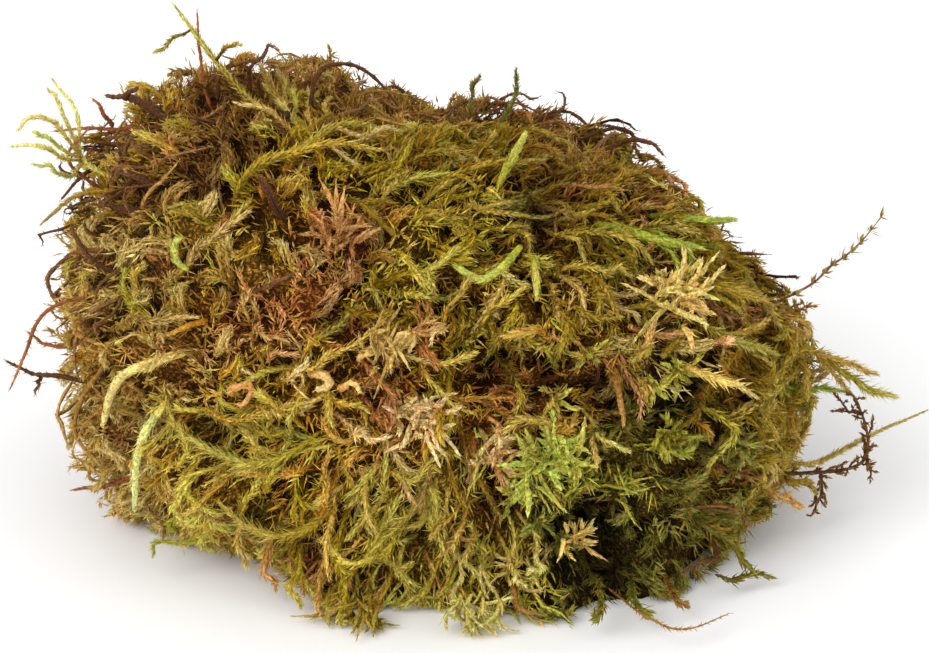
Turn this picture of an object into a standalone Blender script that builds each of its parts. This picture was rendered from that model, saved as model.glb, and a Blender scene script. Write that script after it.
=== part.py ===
"""A clump of wild forest moss, as lifted off the ground: a tangled mat with leafy shoots, peat-moss heads,
bare stems and litter lying on it and standing out of it.

Metres, +Z up. The clump rests on its flat underside, and the middle of that underside is the origin. Its best
side faces -Y. Places are given in millimetres, in one of three ways:

- seen(across, up, lift): on the mat, where an eye in front of the clump sees it. across is to the right of the
  middle of the view, up is up the view, and lift is how far the point stands off the mat.
- free(across, up, depth): off the mat, on the same line of sight, at that depth along +Y.
- turned(bearing, rise, lift): on the mat, in degrees about its heart. Bearing 0 faces the eye, 90 is to the
  right and 180 is the back; rise is above the horizon.
"""

import math
from collections.abc import Callable
from dataclasses import dataclass

import bmesh
import bpy
from mathutils import Vector, noise
from mathutils.bvhtree import BVHTree

MM = 0.001

# The mat: a flattened boulder of tangled moss, in millimetres.
MAT_HALF_WIDTH = 60.0
MAT_HALF_DEPTH = 47.0
MAT_RISE = 42.0  # from the heart to the crown
MAT_DROP = 40.0  # from the heart to where the bottom would round off, below the floor
MAT_SQUARENESS = 2.5  # 2 is an ellipsoid, more is boxier
HEART = Vector((-3.0, -2.0, 26.0))
TUFT_SIZE = 11.0  # from one tuft of the mat to the next
TUFT_RELIEF = 2.6
GRAIN_SIZE = 5.0
GRAIN_RELIEF = 0.8
MAT_FACE_STEPS = 19  # faces along each edge of the cube that the mat is blown up from

# Where the mat swells out of its plain form: bearing, rise and spread in degrees, and height.
SWELLINGS = (
    (-112, 40, 26, 12.0),  # the high left shoulder
    (-60, 45, 26, 7.5),
    (-112, 62, 26, -3.0),
    (180, 66, 26, -8.0),  # the back of the crown falls away
    (112, 40, 26, -18.0),  # the right shoulder slopes down
    (95, 15, 26, -5.0),
    (60, 40, 26, 3.0),
    (-95, 33, 15, -3.5),
    (136, 36, 18, 5.5),  # the ridge behind the right shoulder
    (-158, 46, 14, 3.5),
    (68, 30, 12, -2.5),
    (76, 7, 10, 3.0),
    (-74, -16, 12, 2.5),
    (-52, -30, 18, -5.0),  # the lower left front is drawn in
    (-27, -36, 12, 6.5),  # three feet along the lower edge of the front
    (8, -36, 10, 4.5),
    (36, -35, 14, 12.0),
    (25, -29, 11, 6.0),  # the foot under the dark hollow
    (97, -23, 9, 5.0),  # the shelf that the dark fern stem grows from
    (-88, -2, 15, 1.6),
)

# The dark hollows between tufts: bearing, rise and spread in degrees, and depth.
HOLLOWS = (
    (32, -20, 9, 6.0),
    (8, 0, 6, 4.0),
    (-63, -15, 7, 4.0),
    (-42, -28, 8, 4.5),
    (12, -16, 6, 4.0),
    (30, 42, 6, 3.5),
    (-150, 20, 9, 5.0),
    (150, 5, 9, 5.0),
    (185, -12, 10, 5.0),
    (-110, -5, 7, 3.5),
)

# The eye that the seen places are seen from.
EYE_DISTANCE = 700.0
EYE_TILT = math.radians(24.0)
VIEW_MIDDLE = Vector((0.0, 0.0, 29.0))

CLEARANCE = 0.35  # between a piece and the mat that it lies on or stands in
FLOOR_GAP = 0.1  # the least height of a piece over the floor
ROOT_DEPTH = -2.5  # how far a root starts under the mat's surface

# A peat-moss head, as shares of its half width.
HEAD_ARMS = 7
HEAD_RINGS = 5
HEAD_HEIGHT = 0.6
ARM_NOTCH = 0.62  # how far the head reaches between two arms
ARM_DROOP = 0.25

PALETTE = {  # base colour and roughness
    "old_growth": ((0.16, 0.10, 0.035), 0.95),
    "feather_moss": ((0.34, 0.30, 0.045), 0.75),
    "fresh_moss": ((0.40, 0.52, 0.07), 0.7),
    "pale_moss": ((0.66, 0.55, 0.25), 0.8),
    "peat_moss": ((0.25, 0.34, 0.05), 0.75),
    "rust_moss": ((0.42, 0.20, 0.08), 0.8),
    "bare_stem": ((0.17, 0.065, 0.03), 0.7),
    "litter": ((0.07, 0.035, 0.02), 0.6),
}


@dataclass
class Eye:
    """Casts lines of sight at the mat, and drops points on it."""

    tree: BVHTree

    def sight(self, across, up):
        """The eye, and the unit direction in which it sees this place of the view."""
        ahead = Vector((0.0, math.cos(EYE_TILT), -math.sin(EYE_TILT)))
        upward = Vector((0.0, math.sin(EYE_TILT), math.cos(EYE_TILT)))
        eye = VIEW_MIDDLE - EYE_DISTANCE * ahead
        target = VIEW_MIDDLE + Vector((across, 0.0, 0.0)) + up * upward
        return eye, (target - eye).normalized()

    def lifted(self, place, lift):
        """A point this far outside a place on the mat's surface."""
        return place + lift * (place - HEART).normalized()

    def seen(self, across, up, lift):
        """A point on the mat, where the eye sees it."""
        place = self.tree.ray_cast(*self.sight(across, up))[0]
        if place is None:
            raise ValueError(f"no part of the mat is seen at {across}, {up}")
        return self.lifted(place, lift)

    def free(self, across, up, depth):
        """A point off the mat, on the line of sight, at this depth."""
        eye, ahead = self.sight(across, up)
        return eye + ahead * ((depth - eye.y) / ahead.y)

    def turned(self, bearing, rise, lift):
        """A point on the mat, by its direction from the heart."""
        place = self.tree.ray_cast(HEART, direction(bearing, rise))[0]
        return self.lifted(place, lift)

    def raised(self, place, least):
        """This point, or the point this far outside the mat if it lies deeper."""
        way = (place - HEART).normalized()
        ground = self.tree.ray_cast(HEART, way)[0]
        return HEART + way * max((place - HEART).length, (ground - HEART).length + least)


def direction(bearing, rise):
    """The unit vector from the heart at this bearing and rise."""
    b, r = math.radians(bearing), math.radians(rise)
    return Vector((math.sin(b) * math.cos(r), -math.cos(b) * math.cos(r), math.sin(r)))


def swell(way, bearing, rise, spread, height):
    """What a round swelling adds to the mat's reach along a unit vector."""
    off = direction(bearing, rise).angle(way, 0.0) / math.radians(spread)
    return height * math.exp(-off * off)


def mat_reach(way):
    """How far the mat reaches from its heart along a unit vector."""
    halves = (MAT_HALF_WIDTH, MAT_HALF_DEPTH, MAT_RISE if way.z > 0 else MAT_DROP)
    reach = sum(abs(c / h) ** MAT_SQUARENESS for c, h in zip(way, halves)) ** (-1 / MAT_SQUARENESS)
    reach += sum(swell(way, *row) for row in SWELLINGS)
    reach -= sum(swell(way, *row) for row in HOLLOWS)
    place = HEART + reach * way
    reach += TUFT_RELIEF * noise.noise(place / TUFT_SIZE)
    return reach + GRAIN_RELIEF * noise.noise(place / GRAIN_SIZE)


def mat_mesh(name, grown=0.0, cut=True):
    """The mat's mesh, grown by a clearance, and cut off flat at the floor."""
    bm = bmesh.new()
    bmesh.ops.create_cube(bm, size=2.0)
    bmesh.ops.subdivide_edges(bm, edges=bm.edges[:], cuts=MAT_FACE_STEPS - 1, use_grid_fill=True)
    bmesh.ops.triangulate(bm, faces=bm.faces[:])
    for v in bm.verts:
        way = Vector([math.tan(c * math.pi / 4) for c in v.co]).normalized()
        v.co = HEART + way * (mat_reach(way) + grown)
    if cut:
        every = bm.verts[:] + bm.edges[:] + bm.faces[:]
        split = bmesh.ops.bisect_plane(bm, geom=every, plane_co=(0, 0, 0), plane_no=(0, 0, 1), clear_inner=True)
        rim = [e for e in split["geom_cut"] if isinstance(e, bmesh.types.BMEdge)]
        bmesh.ops.contextual_create(bm, geom=rim)
    mesh = bpy.data.meshes.new(name)
    bmesh.ops.scale(bm, vec=(MM, MM, MM), verts=bm.verts)
    bm.to_mesh(mesh)
    bm.free()
    return mesh


def smooth_line(points, count):
    """This many points, evenly spaced in the parameter, on a smooth curve through the given ones."""
    ends = [2 * points[0] - points[1], *points, 2 * points[-1] - points[-2]]
    found = []
    for i in range(count):
        at = i / (count - 1) * (len(points) - 1)
        k = min(int(at), len(points) - 2)
        t = at - k
        a, b, c, d = ends[k : k + 4]
        bend = (2 * a - 5 * b + 4 * c - d) * t**2 + (3 * b - a - 3 * c + d) * t**3
        found.append(0.5 * (2 * b + (c - a) * t + bend))
    return found


@dataclass
class Maker:
    """Makes the clump's pieces and puts them in its collection."""

    clump: bpy.types.Collection
    helpers: bpy.types.Collection
    clearance: bpy.types.Object = None

    def material(self, finish):
        """The named finish as a material."""
        found = bpy.data.materials.get(finish)
        if found:
            return found
        colour, roughness = PALETTE[finish]
        made = bpy.data.materials.new(finish)
        made.use_nodes = True
        shader = made.node_tree.nodes["Principled BSDF"]
        shader.inputs["Base Color"].default_value = (*colour, 1.0)
        shader.inputs["Roughness"].default_value = roughness
        shader.inputs["Metallic"].default_value = 0.0
        return made

    def add(self, name, mesh, finish):
        """A mesh as a named piece of the clump."""
        mesh.materials.append(self.material(finish))
        mesh.shade_smooth()
        piece = bpy.data.objects.new(name, mesh)
        self.clump.objects.link(piece)
        return piece

    def helper(self, name, mesh):
        """A mesh as a hidden cutter or branch."""
        made = bpy.data.objects.new(name, mesh)
        made.hide_render = True
        made.display_type = "WIRE"
        self.helpers.objects.link(made)
        return made

    def tube(self, name, points, radii, sides):
        """A mesh tube along points, with a radius at each, in millimetres."""
        line = bpy.data.curves.new(name, "CURVE")
        line.dimensions = "3D"
        line.bevel_depth = MM
        line.bevel_resolution = (sides - 4) // 2
        line.use_fill_caps = True
        spline = line.splines.new("POLY")
        spline.points.add(len(points) - 1)
        for point, place, radius in zip(spline.points, points, radii):
            least = radius + FLOOR_GAP
            point.co = (place.x * MM, place.y * MM, max(place.z, least) * MM, 1.0)
            point.radius = radius
        curve = bpy.data.objects.new(name, line)
        self.helpers.objects.link(curve)
        graph = bpy.context.evaluated_depsgraph_get()
        mesh = bpy.data.meshes.new_from_object(curve.evaluated_get(graph))
        bpy.data.objects.remove(curve)
        bm = bmesh.new()
        bm.from_mesh(mesh)
        bmesh.ops.remove_doubles(bm, verts=bm.verts, dist=0.02 * MM)
        bmesh.ops.recalc_face_normals(bm, faces=bm.faces)
        bm.to_mesh(mesh)
        bm.free()
        mesh.name = name
        return mesh

    def fused(self, name, meshes, finish):
        """Several overlapping meshes joined in one solid piece."""
        piece = self.add(name, meshes[0], finish)
        for i, mesh in enumerate(meshes[1:]):
            union = piece.modifiers.new(f"branch_{i}", "BOOLEAN")
            union.operation = "UNION"
            union.object = self.helper(f"{name}_branch_{i}", mesh)
        return piece

    def stood_off(self, piece):
        """Trims a piece by the mat, with the clearance, so that it lies on the mat or stands in it."""
        trim = piece.modifiers.new("clear_of_mat", "BOOLEAN")
        trim.operation = "DIFFERENCE"
        trim.object = self.clearance
        return piece


def leafy_radii(width, count):
    """The half widths of a leafy shoot: whorls of leaves, thin at the root and pointed at the tip."""
    found = []
    for i in range(count):
        t = i / (count - 1)
        whorl = 1.0 if i % 2 else 0.68
        body = min(1.0, 0.55 + 3.0 * t) * min(1.0, 0.22 + 2.6 * (1.0 - t))
        found.append(width * whorl * body)
    return found


def stem_radii(width, count):
    """The half widths of a bare stem, which tapers to its tip."""
    return [width * (1.0 - 0.55 * i / (count - 1)) for i in range(count)]


def beaded_radii(width, count):
    """The half widths of a sparse spray: a thread with tiny leaf stars on it."""
    return [width * (1.0 if i % 2 else 0.38) * (1.0 - 0.4 * i / (count - 1)) for i in range(count)]


@dataclass
class Look:
    """How a shoot or stem is drawn out: its half widths, its sides, its rings' spacing and its finish."""

    radii: Callable
    sides: int
    step: float
    finish: str


FEATHER = Look(leafy_radii, 6, 3.2, "feather_moss")
FRESH = Look(leafy_radii, 6, 3.2, "fresh_moss")
PALE = Look(leafy_radii, 6, 3.2, "pale_moss")
SPRAY = Look(beaded_radii, 4, 2.6, "bare_stem")
STEM = Look(stem_radii, 4, 5.0, "bare_stem")
TWIG = Look(stem_radii, 4, 5.0, "litter")
FRONDLET = Look(leafy_radii, 4, 3.2, "pale_moss")
GOLDEN = Look(leafy_radii, 4, 3.2, "feather_moss")


@dataclass
class Grower:
    """Grows shoots, stems and heads on the mat."""

    maker: Maker
    eye: Eye

    def strand(self, name, points, width, look):
        """The tube of one strand from its root through its points, kept off the mat after its root."""
        length = sum((b - a).length for a, b in zip(points, points[1:]))
        count = max(5, round(length / look.step))
        root, *rest = smooth_line(points, count)
        least = CLEARANCE + 0.15 + 0.8 * width
        line = [root] + [self.eye.raised(place, least) for place in rest]
        return self.maker.tube(name, line, look.radii(width, count), look.sides)

    def shoot(self, name, points, width, look):
        """A single shoot or stem."""
        mesh = self.strand(name, points, width, look)
        return self.maker.stood_off(self.maker.add(name, mesh, look.finish))

    def branched(self, name, lines, look):
        """A shoot with branches, each its points and half width, fused where they fork."""
        meshes = [self.strand(f"{name}_{i}", points, width, look) for i, (points, width) in enumerate(lines)]
        return self.maker.stood_off(self.maker.fused(name, meshes, look.finish))

    def head(self, name, place, radius, finish):
        """A peat-moss head: a dome of short drooping arms, facing away from the mat's heart."""
        bm = bmesh.new()
        bmesh.ops.create_uvsphere(bm, u_segments=2 * HEAD_ARMS, v_segments=HEAD_RINGS, radius=1.0)
        turn = (place - HEART).to_track_quat("Z", "Y").to_matrix()
        for v in bm.verts:
            out = math.hypot(v.co.x, v.co.y)
            column = round(math.atan2(v.co.y, v.co.x) / math.tau * 2 * HEAD_ARMS)
            notch = ARM_NOTCH if column % 2 else 1.0
            arm = Vector((v.co.x * notch, v.co.y * notch, HEAD_HEIGHT * v.co.z - ARM_DROOP * out * notch))
            at = place + turn @ (arm * radius)
            v.co = Vector((at.x, at.y, max(at.z, FLOOR_GAP))) * MM
        mesh = bpy.data.meshes.new(name)
        bm.to_mesh(mesh)
        bm.free()
        return self.maker.stood_off(self.maker.add(name, mesh, finish))


def grow_on_the_left(g):
    """What stands out of the left side and the high left shoulder."""
    s, f = g.eye.seen, g.eye.free
    root = s(-27.4, 29.4, ROOT_DEPTH)
    fork = f(-41.4, 44.3, -3)
    stem = [root, s(-32, 34.6, 1.5), f(-36.6, 38, -7), fork, f(-44.7, 48.6, 0), f(-48.2, 53.3, 2)]
    left_twig = [f(-45.4, 49.6, 0.8), f(-48.8, 47.5, -1), f(-51.6, 45.7, -3)]
    right_twig = [fork, f(-39.8, 46.5, -5), f(-37.5, 46.9, -6)]
    g.branched("golden_shoot", [(stem, 1.4), (left_twig, 0.6), (right_twig, 0.8)], GOLDEN)
    root = s(-28.2, 32.4, ROOT_DEPTH)
    left_plume = [root, f(-31.2, 38.2, -6), f(-33.8, 43.2, -5)]
    right_plume = [root, f(-29.6, 38, -5), f(-30.8, 42.2, -3)]
    g.branched("crown_shoot", [(left_plume, 1.1), (right_plume, 1.0)], GOLDEN)
    g.shoot("thin_upright_stem", [s(-44, 38, ROOT_DEPTH), f(-44.1, 44, 7), f(-44.6, 52.8, 9)], 0.45, STEM)
    heel = s(-58.5, 25, ROOT_DEPTH)
    fan = f(-63.5, 27.6, -3)
    fronds = [
        ([heel, fan, f(-64.8, 35.5, -2), f(-68.5, 41, 0)], 0.8),
        ([fan, f(-67, 36.1, -3), f(-69.2, 39.3, -2)], 0.6),
        ([fan, f(-67.9, 33.2, -5), f(-71.9, 34.7, -6), f(-74.3, 32.9, -6)], 0.6),
        ([fan, f(-69, 31, -6), f(-71.5, 32.3, -7)], 0.6),
        ([fan, f(-67.4, 28, -8), f(-70.8, 30.4, -9), f(-75.2, 30, -9)], 0.8),
        ([fan, f(-65.8, 25, -7), f(-68.6, 26.3, -9), f(-71.8, 27, -10)], 0.7),
    ]
    g.branched("left_frond", fronds, FRONDLET)
    knot = f(-58.5, 33.2, 2)
    red = [s(-52.4, 34.2, ROOT_DEPTH), knot, f(-68.8, 32.5, 4)]
    g.branched("red_stem", [(red, 0.6), ([knot, f(-60.2, 36, 2), f(-62.1, 38, 2)], 0.6)], STEM)
    flake = [s(-50.6, 35.2, ROOT_DEPTH), f(-54.4, 37.6, 8), f(-60, 38.6, 9)]
    g.branched("bark_flake", [(flake, 1.1), ([f(-56.8, 37.8, 8), f(-54.5, 40, 8.5)], 0.8)], TWIG)
    arch = [s(-27, 36, ROOT_DEPTH), f(-24.8, 41.5, -2), f(-21.4, 43.6, 2), f(-15.8, 42.2, 7), s(-9.8, 34.5, 1)]
    g.shoot("arched_stem", arch, 0.6, STEM)
    long_twig = [s(-56, 30.5, ROOT_DEPTH), f(-60.6, 27.2, 2), f(-64, 24.6, -2), f(-67.4, 21, -4)]
    g.shoot("long_dark_twig", long_twig, 0.6, TWIG)
    g.shoot("green_tipped_stem", [s(-57, 23.6, ROOT_DEPTH), f(-64.3, 22, -9), f(-70.4, 17.2, -9)], 0.7, STEM)
    hook = [s(-61.6, 12.6, 1), f(-66.8, 10.9, -12), f(-69.4, 8, -13), f(-68.6, 5, -13), f(-65.8, 2.2, -14)]
    g.shoot("hooked_stem", [s(-56, 12.5, ROOT_DEPTH), *hook], 0.6, STEM)
    hanging = [s(-62.0, 6, ROOT_DEPTH), f(-69.3, 3.0, -20), f(-73.0, -4.0, -20), f(-75.8, -10.6, -20)]
    g.shoot("hanging_stem", hanging, 0.5, STEM)
    g.shoot("left_twig", [s(-63, -2, ROOT_DEPTH), f(-68.6, -3.4, -15), f(-73.0, -0.8, -14)], 0.5, TWIG)
    knee = f(-70.6, -8.2, -16)
    forked = [([s(-63, -9.6, ROOT_DEPTH), knee, f(-76.6, -5.6, -16)], 0.6), ([knee, f(-71.6, -11.3, -16)], 0.5)]
    g.branched("forked_twig", forked, TWIG)


def grow_on_the_top(g):
    """What stands or lies on the crown and the ridge."""
    s, f = g.eye.seen, g.eye.free
    g.shoot("upright_shoot_1", [s(0.4, 34, ROOT_DEPTH), f(1.3, 38.6, 21), f(2.4, 41.6, 20)], 0.9, FRESH)
    g.shoot("upright_shoot_2", [s(4.6, 33.5, ROOT_DEPTH), f(8.3, 38, 20), f(8.6, 42.8, 18)], 0.8, FRESH)
    ridge = [s(21, 28, ROOT_DEPTH), f(25.5, 30.6, 20), f(30.5, 30.8, 18), f(33.4, 28.4, 17)]
    g.shoot("ridge_stem", ridge, 0.7, TWIG)


def grow_on_the_right(g):
    """What stands out of the right side, the lower ones last."""
    s, f = g.eye.seen, g.eye.free
    g.shoot("right_green_shoot", [s(32, 19.5, ROOT_DEPTH), s(38.5, 17.6, 1), f(45.1, 17.8, -18)], 1.1, FRESH)
    bright = [s(22, 17.5, -1), s(27, 15.5, 1.2), s(32.5, 13.6, 1.4), s(38.5, 12.6, 1.4)]
    g.shoot("bright_shoot_4", bright, 1.5, FRESH)
    spray = [s(51, 2.6, ROOT_DEPTH), f(57.6, 7, -20), f(62, 10.6, -20), f(65.6, 13.6, -19), f(70.1, 19.1, -18)]
    g.shoot("beaded_spray", spray, 1.0, SPRAY)
    droop = [s(41, 9.5, -1), s(46.5, 5.4, 1.4), s(51, 0.4, 1.6), f(57.6, -1.6, -19)]
    g.shoot("drooping_shoot_1", droop, 1.3, FEATHER)
    g.shoot("drooping_shoot_2", [s(38, 1.5, -1), s(44, -2.2, 1.4), s(50.5, -4.6, 1.6)], 1.3, FEATHER)
    stem = f(58.4, -4.2, -22)
    vanes = [
        ([s(52.4, -3.6, ROOT_DEPTH), stem, f(63.6, -6.2, -21), f(68.4, -7.9, -20)], 1.5),
        ([stem, f(63, -7.8, -21), f(67.4, -10.2, -21), f(71.4, -11.6, -20)], 1.7),
        ([stem, f(61.6, -8.2, -22), f(64.6, -11.4, -22)], 0.9),
    ]
    g.branched("thick_feather_shoot", vanes, FEATHER)
    g.shoot("green_side_shoot", [s(53, -10.2, ROOT_DEPTH), f(57.8, -10.4, -18), f(63, -10.8, -16)], 1.1, FRESH)
    fork, bough = f(59.4, -24.3, -22), f(67.3, -17.8, -22)
    crook = f(66.9, -21.4, -22)
    fern = [
        ([s(50, -25.4, ROOT_DEPTH), fork, f(64, -23.6, -22), crook, bough, f(64.9, -11.2, -22)], 0.9),
        ([fork, f(59.4, -28.1, -22), f(57.8, -31.7, -22)], 0.8),
        ([f(66.6, -14.6, -22), f(64.4, -14.3, -22), f(62.6, -12.2, -22)], 0.8),
        ([crook, f(67.8, -24.9, -22)], 0.8),
    ]
    g.branched("fern_stem", fern, SPRAY)
    pale = [f(57, -22.9, -15), f(62, -21.2, -13), f(68, -18, -13), f(76.8, -14.1, -13)]
    g.shoot("pale_side_shoot", [s(51, -21.4, ROOT_DEPTH), *pale], 0.9, FRONDLET)
    bend = f(48.4, -41.4, -39)
    lower = [
        ([s(38, -32, ROOT_DEPTH), f(43, -35.2, -40), f(46.4, -38.6, -40), bend], 1.5),
        ([f(41.6, -41.3, -42), f(45, -42, -41), bend, f(51.2, -41.8, -39)], 0.8),
    ]
    g.branched("lower_right_shoot", lower, FEATHER)
    dark = [s(41.6, -34.6, ROOT_DEPTH), f(42.4, -38.4, -43), f(38.4, -39.8, -46), f(36.2, -41.2, -47)]
    g.shoot("dark_root", dark, 0.6, TWIG)


def grow_along_the_bottom(g):
    """What lies or hangs along the lower edge of the front."""
    s, f = g.eye.seen, g.eye.free
    g.shoot("bottom_twig", [s(8.2, -43.6, -1), f(9.4, -47.4, -51), f(14.4, -48.1, -50)], 0.7, TWIG)
    thread = [s(24, -44, -1), f(30.4, -48.8, -57), f(36.6, -50.2, -59), f(44.3, -47.8, -53)]
    g.shoot("bottom_thread", thread, 0.3, TWIG)
    g.head("bottom_tuft_left", g.eye.raised(f(-18.6, -47.8, -52), 1.5), 5.8, "pale_moss")
    g.head("bottom_tuft_middle", g.eye.raised(f(1.6, -47.8, -54), 1.5), 5.0, "pale_moss")
    left = [f(-43.8, -34.1, -37), f(-47.2, -35.6, -37), f(-51.2, -36.2, -36), f(-51.9, -38, -37)]
    g.shoot("lower_left_shoot", [s(-41, -31, -1), *left], 0.8, FEATHER)
    stub = [s(-52, -26.5, -1), f(-52.2, -29.6, -29), f(-50.9, -32.2, -29), f(-50.2, -35.4, -30)]
    g.shoot("brown_stub", stub, 0.8, STEM)
    g.shoot("low_left_stem", [s(-54.4, -24.8, ROOT_DEPTH), f(-60, -26.4, -22), f(-65.4, -27.3, -22)], 0.6, STEM)


def grow_on_the_front(g):
    """What lies over the side that faces the eye."""
    s = g.eye.seen
    hanging = [s(-50.4, -12.6, -1), s(-51.8, -17.2, 1.3), s(-53.2, -22.4, 1.6), g.eye.free(-55.0, -30.4, -33)]
    g.shoot("pale_hanging_shoot", hanging, 1.3, PALE)
    curved = [s(-46.4, -4, -1), s(-50.6, -5.8, 1.4), s(-56, -8.8, 1.7), g.eye.free(-60.3, -16.3, -30)]
    g.shoot("pale_curved_shoot", curved, 1.5, PALE)
    g.shoot("bright_shoot_1", [s(10, 14, -1), s(6.5, 10, 1.6), s(2.5, 7.4, 2), s(-1.5, 9.5, 2)], 1.3, FRESH)
    g.shoot("bright_shoot_2", [s(12, 12, -1), s(11.5, 9, 1.4), s(11.5, 4.5, 1.8)], 1.2, FRESH)
    g.shoot("bright_shoot_3", [s(5.6, 23.4, -1), s(7.6, 27, 1.6), s(9.6, 30.6, 2)], 1.2, FRESH)
    upper = [s(-24, -17.5, -1), s(-31, -22, 1.4), s(-38, -21.4, 1.6), s(-44, -18.4, 1.8)]
    g.shoot("feather_shoot_1", upper, 1.5, FEATHER)
    lower = [s(-21, -30, -1), s(-27, -33.4, 1.5), s(-33.6, -33.2, 1.7), s(-39, -29, 1.9)]
    g.shoot("feather_shoot_2", lower, 1.5, FEATHER)
    g.shoot("curled_leaf", [s(-46.6, 9.4, -1), s(-47.8, 12, 1.2), s(-46.4, 14.2, 1.4)], 1.1, FRESH)
    g.shoot("fir_needle", [s(-29.1, 16.9, -1), s(-31.4, 20.6, 1.4), s(-33.3, 24.4, 2)], 0.9, TWIG)
    g.shoot("dark_twig", [s(-40.4, 3.2, -1), s(-33, 6.2, 1), s(-25.8, 9.4, 1.2)], 0.6, TWIG)
    g.shoot("orange_stem", [s(-43.3, 1.1, -1), s(-46.6, -0.4, 1), s(-50.2, -2, 1)], 0.7, STEM)
    g.shoot("brown_hanging_stem", [s(25.4, -6.6, -1), s(25.2, -11, 1.4), s(25.4, -16.4, 1.8)], 0.9, STEM)


def grow_heads(g):
    """The peat-moss heads and the loose tufts of old leaves."""
    s = g.eye.seen
    g.head("straw_head", s(34.6, 4.6, 2.4), 6.4, "pale_moss")
    g.shoot("straw_head_stalk", [s(28.4, -6.6, -1), s(29.4, -2.6, 1.5), s(30.6, 0.2, 1.6)], 1.2, PALE)
    g.shoot("straw_head_arm", [s(37.2, -6.4, -1), s(41.6, -8.8, 1.8), s(46.8, -11.4, 2)], 1.8, PALE)
    g.head("straw_tuft_1", s(-7.8, -15.6, 2), 5.2, "pale_moss")
    g.head("straw_tuft_2", s(4.4, -21.6, 1.8), 3.8, "pale_moss")
    g.head("rust_tuft_1", s(-20.8, 15.4, 2), 5.4, "rust_moss")
    g.head("rust_tuft_2", s(-13.6, -3.9, 1.8), 4.4, "rust_moss")
    g.head("peat_head_1", s(14.4, -21.6, 2.2), 5.2, "peat_moss")
    g.head("peat_head_2", s(33.4, -19.4, 2), 4.6, "peat_moss")
    g.head("peat_head_3", s(44.6, -20.4, 1.8), 4.2, "peat_moss")
    g.head("lone_peat_head", s(18.4, -34.4, 1.8), 3.8, "pale_moss")


def grow_round_the_back(g):
    """Shoots like the front's on the side that faces away."""
    t = g.eye.turned
    g.shoot("back_shoot_1", [t(150, 30, -1), t(162, 26, 1.4), t(174, 20, 1.6), t(184, 12, 1.8)], 1.4, FEATHER)
    g.shoot("back_shoot_2", [t(214, 38, -1), t(206, 28, 1.4), t(200, 16, 1.8), t(196, 4, 2)], 1.4, FEATHER)


def new_collection(name, hidden=False):
    """A collection in the scene, which is left out of the picture if it is hidden."""
    made = bpy.data.collections.new(name)
    made.hide_render = hidden
    bpy.context.scene.collection.children.link(made)
    return made


def main():
    """Builds the clump."""
    for old in list(bpy.data.objects):
        bpy.data.objects.remove(old)
    maker = Maker(new_collection("moss_clump"), new_collection("helpers", hidden=True))
    maker.add("moss_mat", mat_mesh("moss_mat"), "old_growth")
    maker.clearance = maker.helper("mat_clearance", mat_mesh("mat_clearance", grown=CLEARANCE, cut=False))
    bm = bmesh.new()
    bm.from_mesh(bpy.data.meshes["moss_mat"])
    bmesh.ops.scale(bm, vec=(1 / MM, 1 / MM, 1 / MM), verts=bm.verts)
    grower = Grower(maker, Eye(BVHTree.FromBMesh(bm)))
    bm.free()
    grow_on_the_left(grower)
    grow_on_the_top(grower)
    grow_on_the_right(grower)
    grow_along_the_bottom(grower)
    grow_on_the_front(grower)
    grow_heads(grower)
    grow_round_the_back(grower)


main()
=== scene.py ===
"""Dresses the moss clump: leafy shoots, peat-moss heads, tendrils, dead fibres and bare stems grown over the
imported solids.

Lengths are in millimetres until a mesh is built. A place is given as the solids' own script gives it: seen(across,
up) is on the mat where an eye in front sees it, free(across, up, depth) is off the mat on the same line of sight,
and turned(bearing, rise) is on the mat in degrees about its heart.
"""

import logging
import math
from collections.abc import Callable, Iterator, Sequence
from dataclasses import dataclass, field
from enum import Enum

import bpy
import numpy as np
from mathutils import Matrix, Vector
from mathutils.bvhtree import BVHTree


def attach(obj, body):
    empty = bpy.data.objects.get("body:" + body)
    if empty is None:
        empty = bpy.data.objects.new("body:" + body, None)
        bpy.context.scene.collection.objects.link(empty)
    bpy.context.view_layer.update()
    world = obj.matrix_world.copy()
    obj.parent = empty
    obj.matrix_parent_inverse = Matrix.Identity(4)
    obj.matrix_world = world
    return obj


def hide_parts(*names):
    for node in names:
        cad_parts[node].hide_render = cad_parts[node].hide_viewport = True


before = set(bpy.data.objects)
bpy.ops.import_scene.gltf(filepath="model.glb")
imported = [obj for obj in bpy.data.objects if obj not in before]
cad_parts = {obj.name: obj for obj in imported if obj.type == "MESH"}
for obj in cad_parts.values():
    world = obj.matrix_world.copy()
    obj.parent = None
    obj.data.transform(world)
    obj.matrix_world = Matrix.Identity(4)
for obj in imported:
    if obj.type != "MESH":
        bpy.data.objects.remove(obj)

log = logging.getLogger("moss_clump")

Array = np.ndarray
Random = np.random.Generator

MM = 0.001
GOLDEN_TURN = math.radians(137.508)  # from one leaf or twig of a shoot to the next

# Near the floor, in millimetres over it.
BURIED = -1.5  # a leaf with a corner lower than this is left out
FLOOR_GAP = 0.15  # no leaf reaches lower than this
SOFT_FLOOR = 1.0  # leaves lower than this bend to lie on the floor
FLOOR_BEND = 0.9  # how sharply they bend
LOWEST = 0.5  # the middle of a strand stays this high

# The eye and the heart of the mat, as in the solids' own script.
HEART = np.array((-3.0, -2.0, 26.0))
EYE_DISTANCE = 700.0
EYE_TILT = math.radians(24.0)
VIEW_MIDDLE = np.array((0.0, 0.0, 29.0))
AHEAD = np.array((0.0, math.cos(EYE_TILT), -math.sin(EYE_TILT)))
RIGHTWARD = np.array((1.0, 0.0, 0.0))
UPWARD = np.array((0.0, math.sin(EYE_TILT), math.cos(EYE_TILT)))
EYE = VIEW_MIDDLE - EYE_DISTANCE * AHEAD
PHOTO_WIDTH_MM = 929 / 6.0  # what the picture's width covers at the middle of the view


def unit(vectors: Array) -> Array:
    """The vectors at length one."""
    return vectors / np.maximum(np.linalg.norm(vectors, axis=-1, keepdims=True), 1e-9)


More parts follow.
